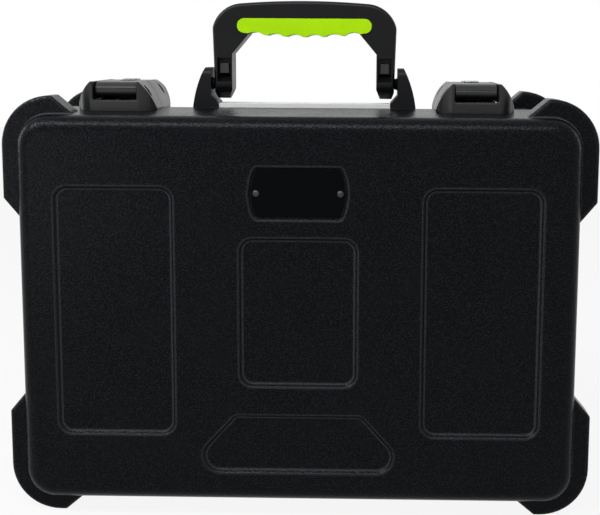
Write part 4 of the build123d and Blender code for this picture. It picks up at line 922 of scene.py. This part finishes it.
@dataclass
class Studio:
    """A pale floor under soft light, and the camera in front of the case."""

    floor_half: float = 4.0
    floor_cells: int = 8
    floor_colour: str = "#D2D2D0"
    floor_lift: float = 0.9
    sky_level: float = 0.25
    lens: float = 62.23
    shift: tuple[float, float] = (-0.0908, -0.1300)
    camera_place: tuple[float, float, float] = (0.0543, -0.8851, 0.3720)
    pitch: float = 7.101
    yaw: float = 0.813
    roll: float = 0.393
    view_end: float = 50.0
    lamps_aim: tuple[float, float, float] = (0.0, 0.0, 0.2)
    lamps: tuple[Lamp, ...] = (
        Lamp("overhead", (-0.25, -0.72, 1.15), (1.4, 0.22), 12.0),
        Lamp("key", (-0.85, -0.55, 0.95), (0.2, 0.2), 3.5),
        Lamp("front", (-0.75, -1.35, 0.12), (0.3, 0.3), 1.2),
        Lamp("left", (-1.5, 0.3, 0.6), (0.2, 0.8), 3.5),
        Lamp("right", (1.5, 0.3, 0.6), (0.2, 0.8), 2.0))

    def bare(self, tree: bpy.types.NodeTree) -> bpy.types.NodeSocket:
        """Adds the share of rays that see the bare studio: straight on, mirrored or through glass.

        Args:
            tree: the material's or world's node tree.

        Returns:
            An output that is 1 for such a ray and 0 for any other.
        """
        path = add_node(tree, "ShaderNodeLightPath").outputs
        seen = path[Ray.CAMERA.value]
        for ray in (Ray.GLOSSY, Ray.TRANSMISSION):
            seen = add_node(tree, "ShaderNodeMath", {"operation": "MAXIMUM"}, {
                0: seen, 1: path[ray.value]}).outputs[0]
        return seen

    def lay_floor(self) -> bpy.types.Object:
        """Lays the floor, which looks almost white and still takes the shadow of the case.

        Returns:
            The floor.
        """
        sheet = bmesh.new()
        bmesh.ops.create_grid(sheet, x_segments=self.floor_cells, y_segments=self.floor_cells,
                              size=self.floor_half)
        data = bpy.data.meshes.new("studio_floor")
        sheet.to_mesh(data)
        sheet.free()
        floor = new_object("studio_floor", data)
        material = bpy.data.materials.new("pale_paper")
        material.use_nodes = True
        tree = material.node_tree
        tree.nodes.clear()
        paper = add_node(tree, "ShaderNodeBsdfDiffuse", inputs={
            "Color": linear(self.floor_colour)}).outputs[0]
        white = add_node(tree, "ShaderNodeEmission", inputs={
            "Color": linear(WHITE), "Strength": 1.0}).outputs[0]
        lift = add_node(tree, "ShaderNodeMath", {"operation": "MULTIPLY"}, {
            0: self.bare(tree), 1: self.floor_lift}).outputs[0]
        mixed = add_node(tree, "ShaderNodeMixShader", inputs={
            0: lift, 1: paper, 2: white}).outputs[0]
        add_node(tree, "ShaderNodeOutputMaterial", inputs={"Surface": mixed})
        dress(floor, material)
        return floor

    def light_room(self) -> None:
        """Lights the room with an even, dim sky that is itself seen as white."""
        world = bpy.data.worlds.new("studio_room")
        bpy.context.scene.world = world
        world.use_nodes = True
        tree = world.node_tree
        tree.nodes.clear()
        even, white = (add_node(tree, "ShaderNodeBackground", inputs={
            "Color": linear(WHITE), "Strength": level}).outputs[0] for level in (self.sky_level, 1.0))
        seen = add_node(tree, "ShaderNodeMixShader", inputs={
            0: self.bare(tree), 1: even, 2: white}).outputs[0]
        add_node(tree, "ShaderNodeOutputWorld", inputs={"Surface": seen})

    def hang_lamps(self) -> None:
        """Hangs the soft lamps, each aimed at the middle of the case."""
        for lamp in self.lamps:
            light = bpy.data.lights.new(f"{lamp.name}_softbox", "AREA")
            light.shape = "RECTANGLE"
            light.size, light.size_y = lamp.size
            light.energy = lamp.power
            stand = bpy.data.objects.new(f"{lamp.name}_softbox", light)
            stand.location = lamp.place
            aim = Vector(self.lamps_aim) - Vector(lamp.place)
            stand.rotation_euler = aim.to_track_quat("-Z", "Y").to_euler()
            bpy.context.scene.collection.objects.link(stand)

    def set_camera(self) -> None:
        """Sets the camera in front of the case, near the height of its top and looking slightly down."""
        pitch, yaw, roll = (math.radians(angle) for angle in (self.pitch, self.yaw, self.roll))
        turn = Matrix.Rotation(yaw, 3, "Z")
        ahead = turn @ Vector((0, math.cos(pitch), -math.sin(pitch)))
        right = turn @ Vector((1, 0, 0))
        up = turn @ Vector((0, math.sin(pitch), math.cos(pitch)))
        tilted_right = right * math.cos(roll) + up * math.sin(roll)
        tilted_up = up * math.cos(roll) - right * math.sin(roll)
        view = Matrix((tilted_right, tilted_up, -ahead)).transposed().to_4x4()
        view.translation = Vector(self.camera_place)
        data = bpy.data.cameras.new("front_camera")
        data.lens = self.lens
        data.shift_x, data.shift_y = self.shift
        data.clip_end = self.view_end
        camera = bpy.data.objects.new("front_camera", data)
        camera.matrix_world = view
        bpy.context.scene.collection.objects.link(camera)
        bpy.context.scene.camera = camera

    def build(self) -> None:
        """Sets up the floor, the light and the camera."""
        self.lay_floor()
        self.light_room()
        self.hang_lamps()
        self.set_camera()
        bpy.context.scene.view_settings.view_transform = "Standard"


def main() -> None:
    """Builds the case piece by piece and reports each."""
    logging.basicConfig(level=logging.INFO, format="%(message)s")
    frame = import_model()
    nodes = frame["nodes"]
    palette = Palette.mixed()
    HardParts(nodes, palette).build()
    for name, body, facing in RIVETS:
        RivetSet(nodes[name], body, facing, palette.enamel).build()
    FoamInsert(nodes, palette.foam).build()
    ConvolutedFoam(palette.lid_foam).build()
    Studio().build()


if __name__ == "__main__":
    main()
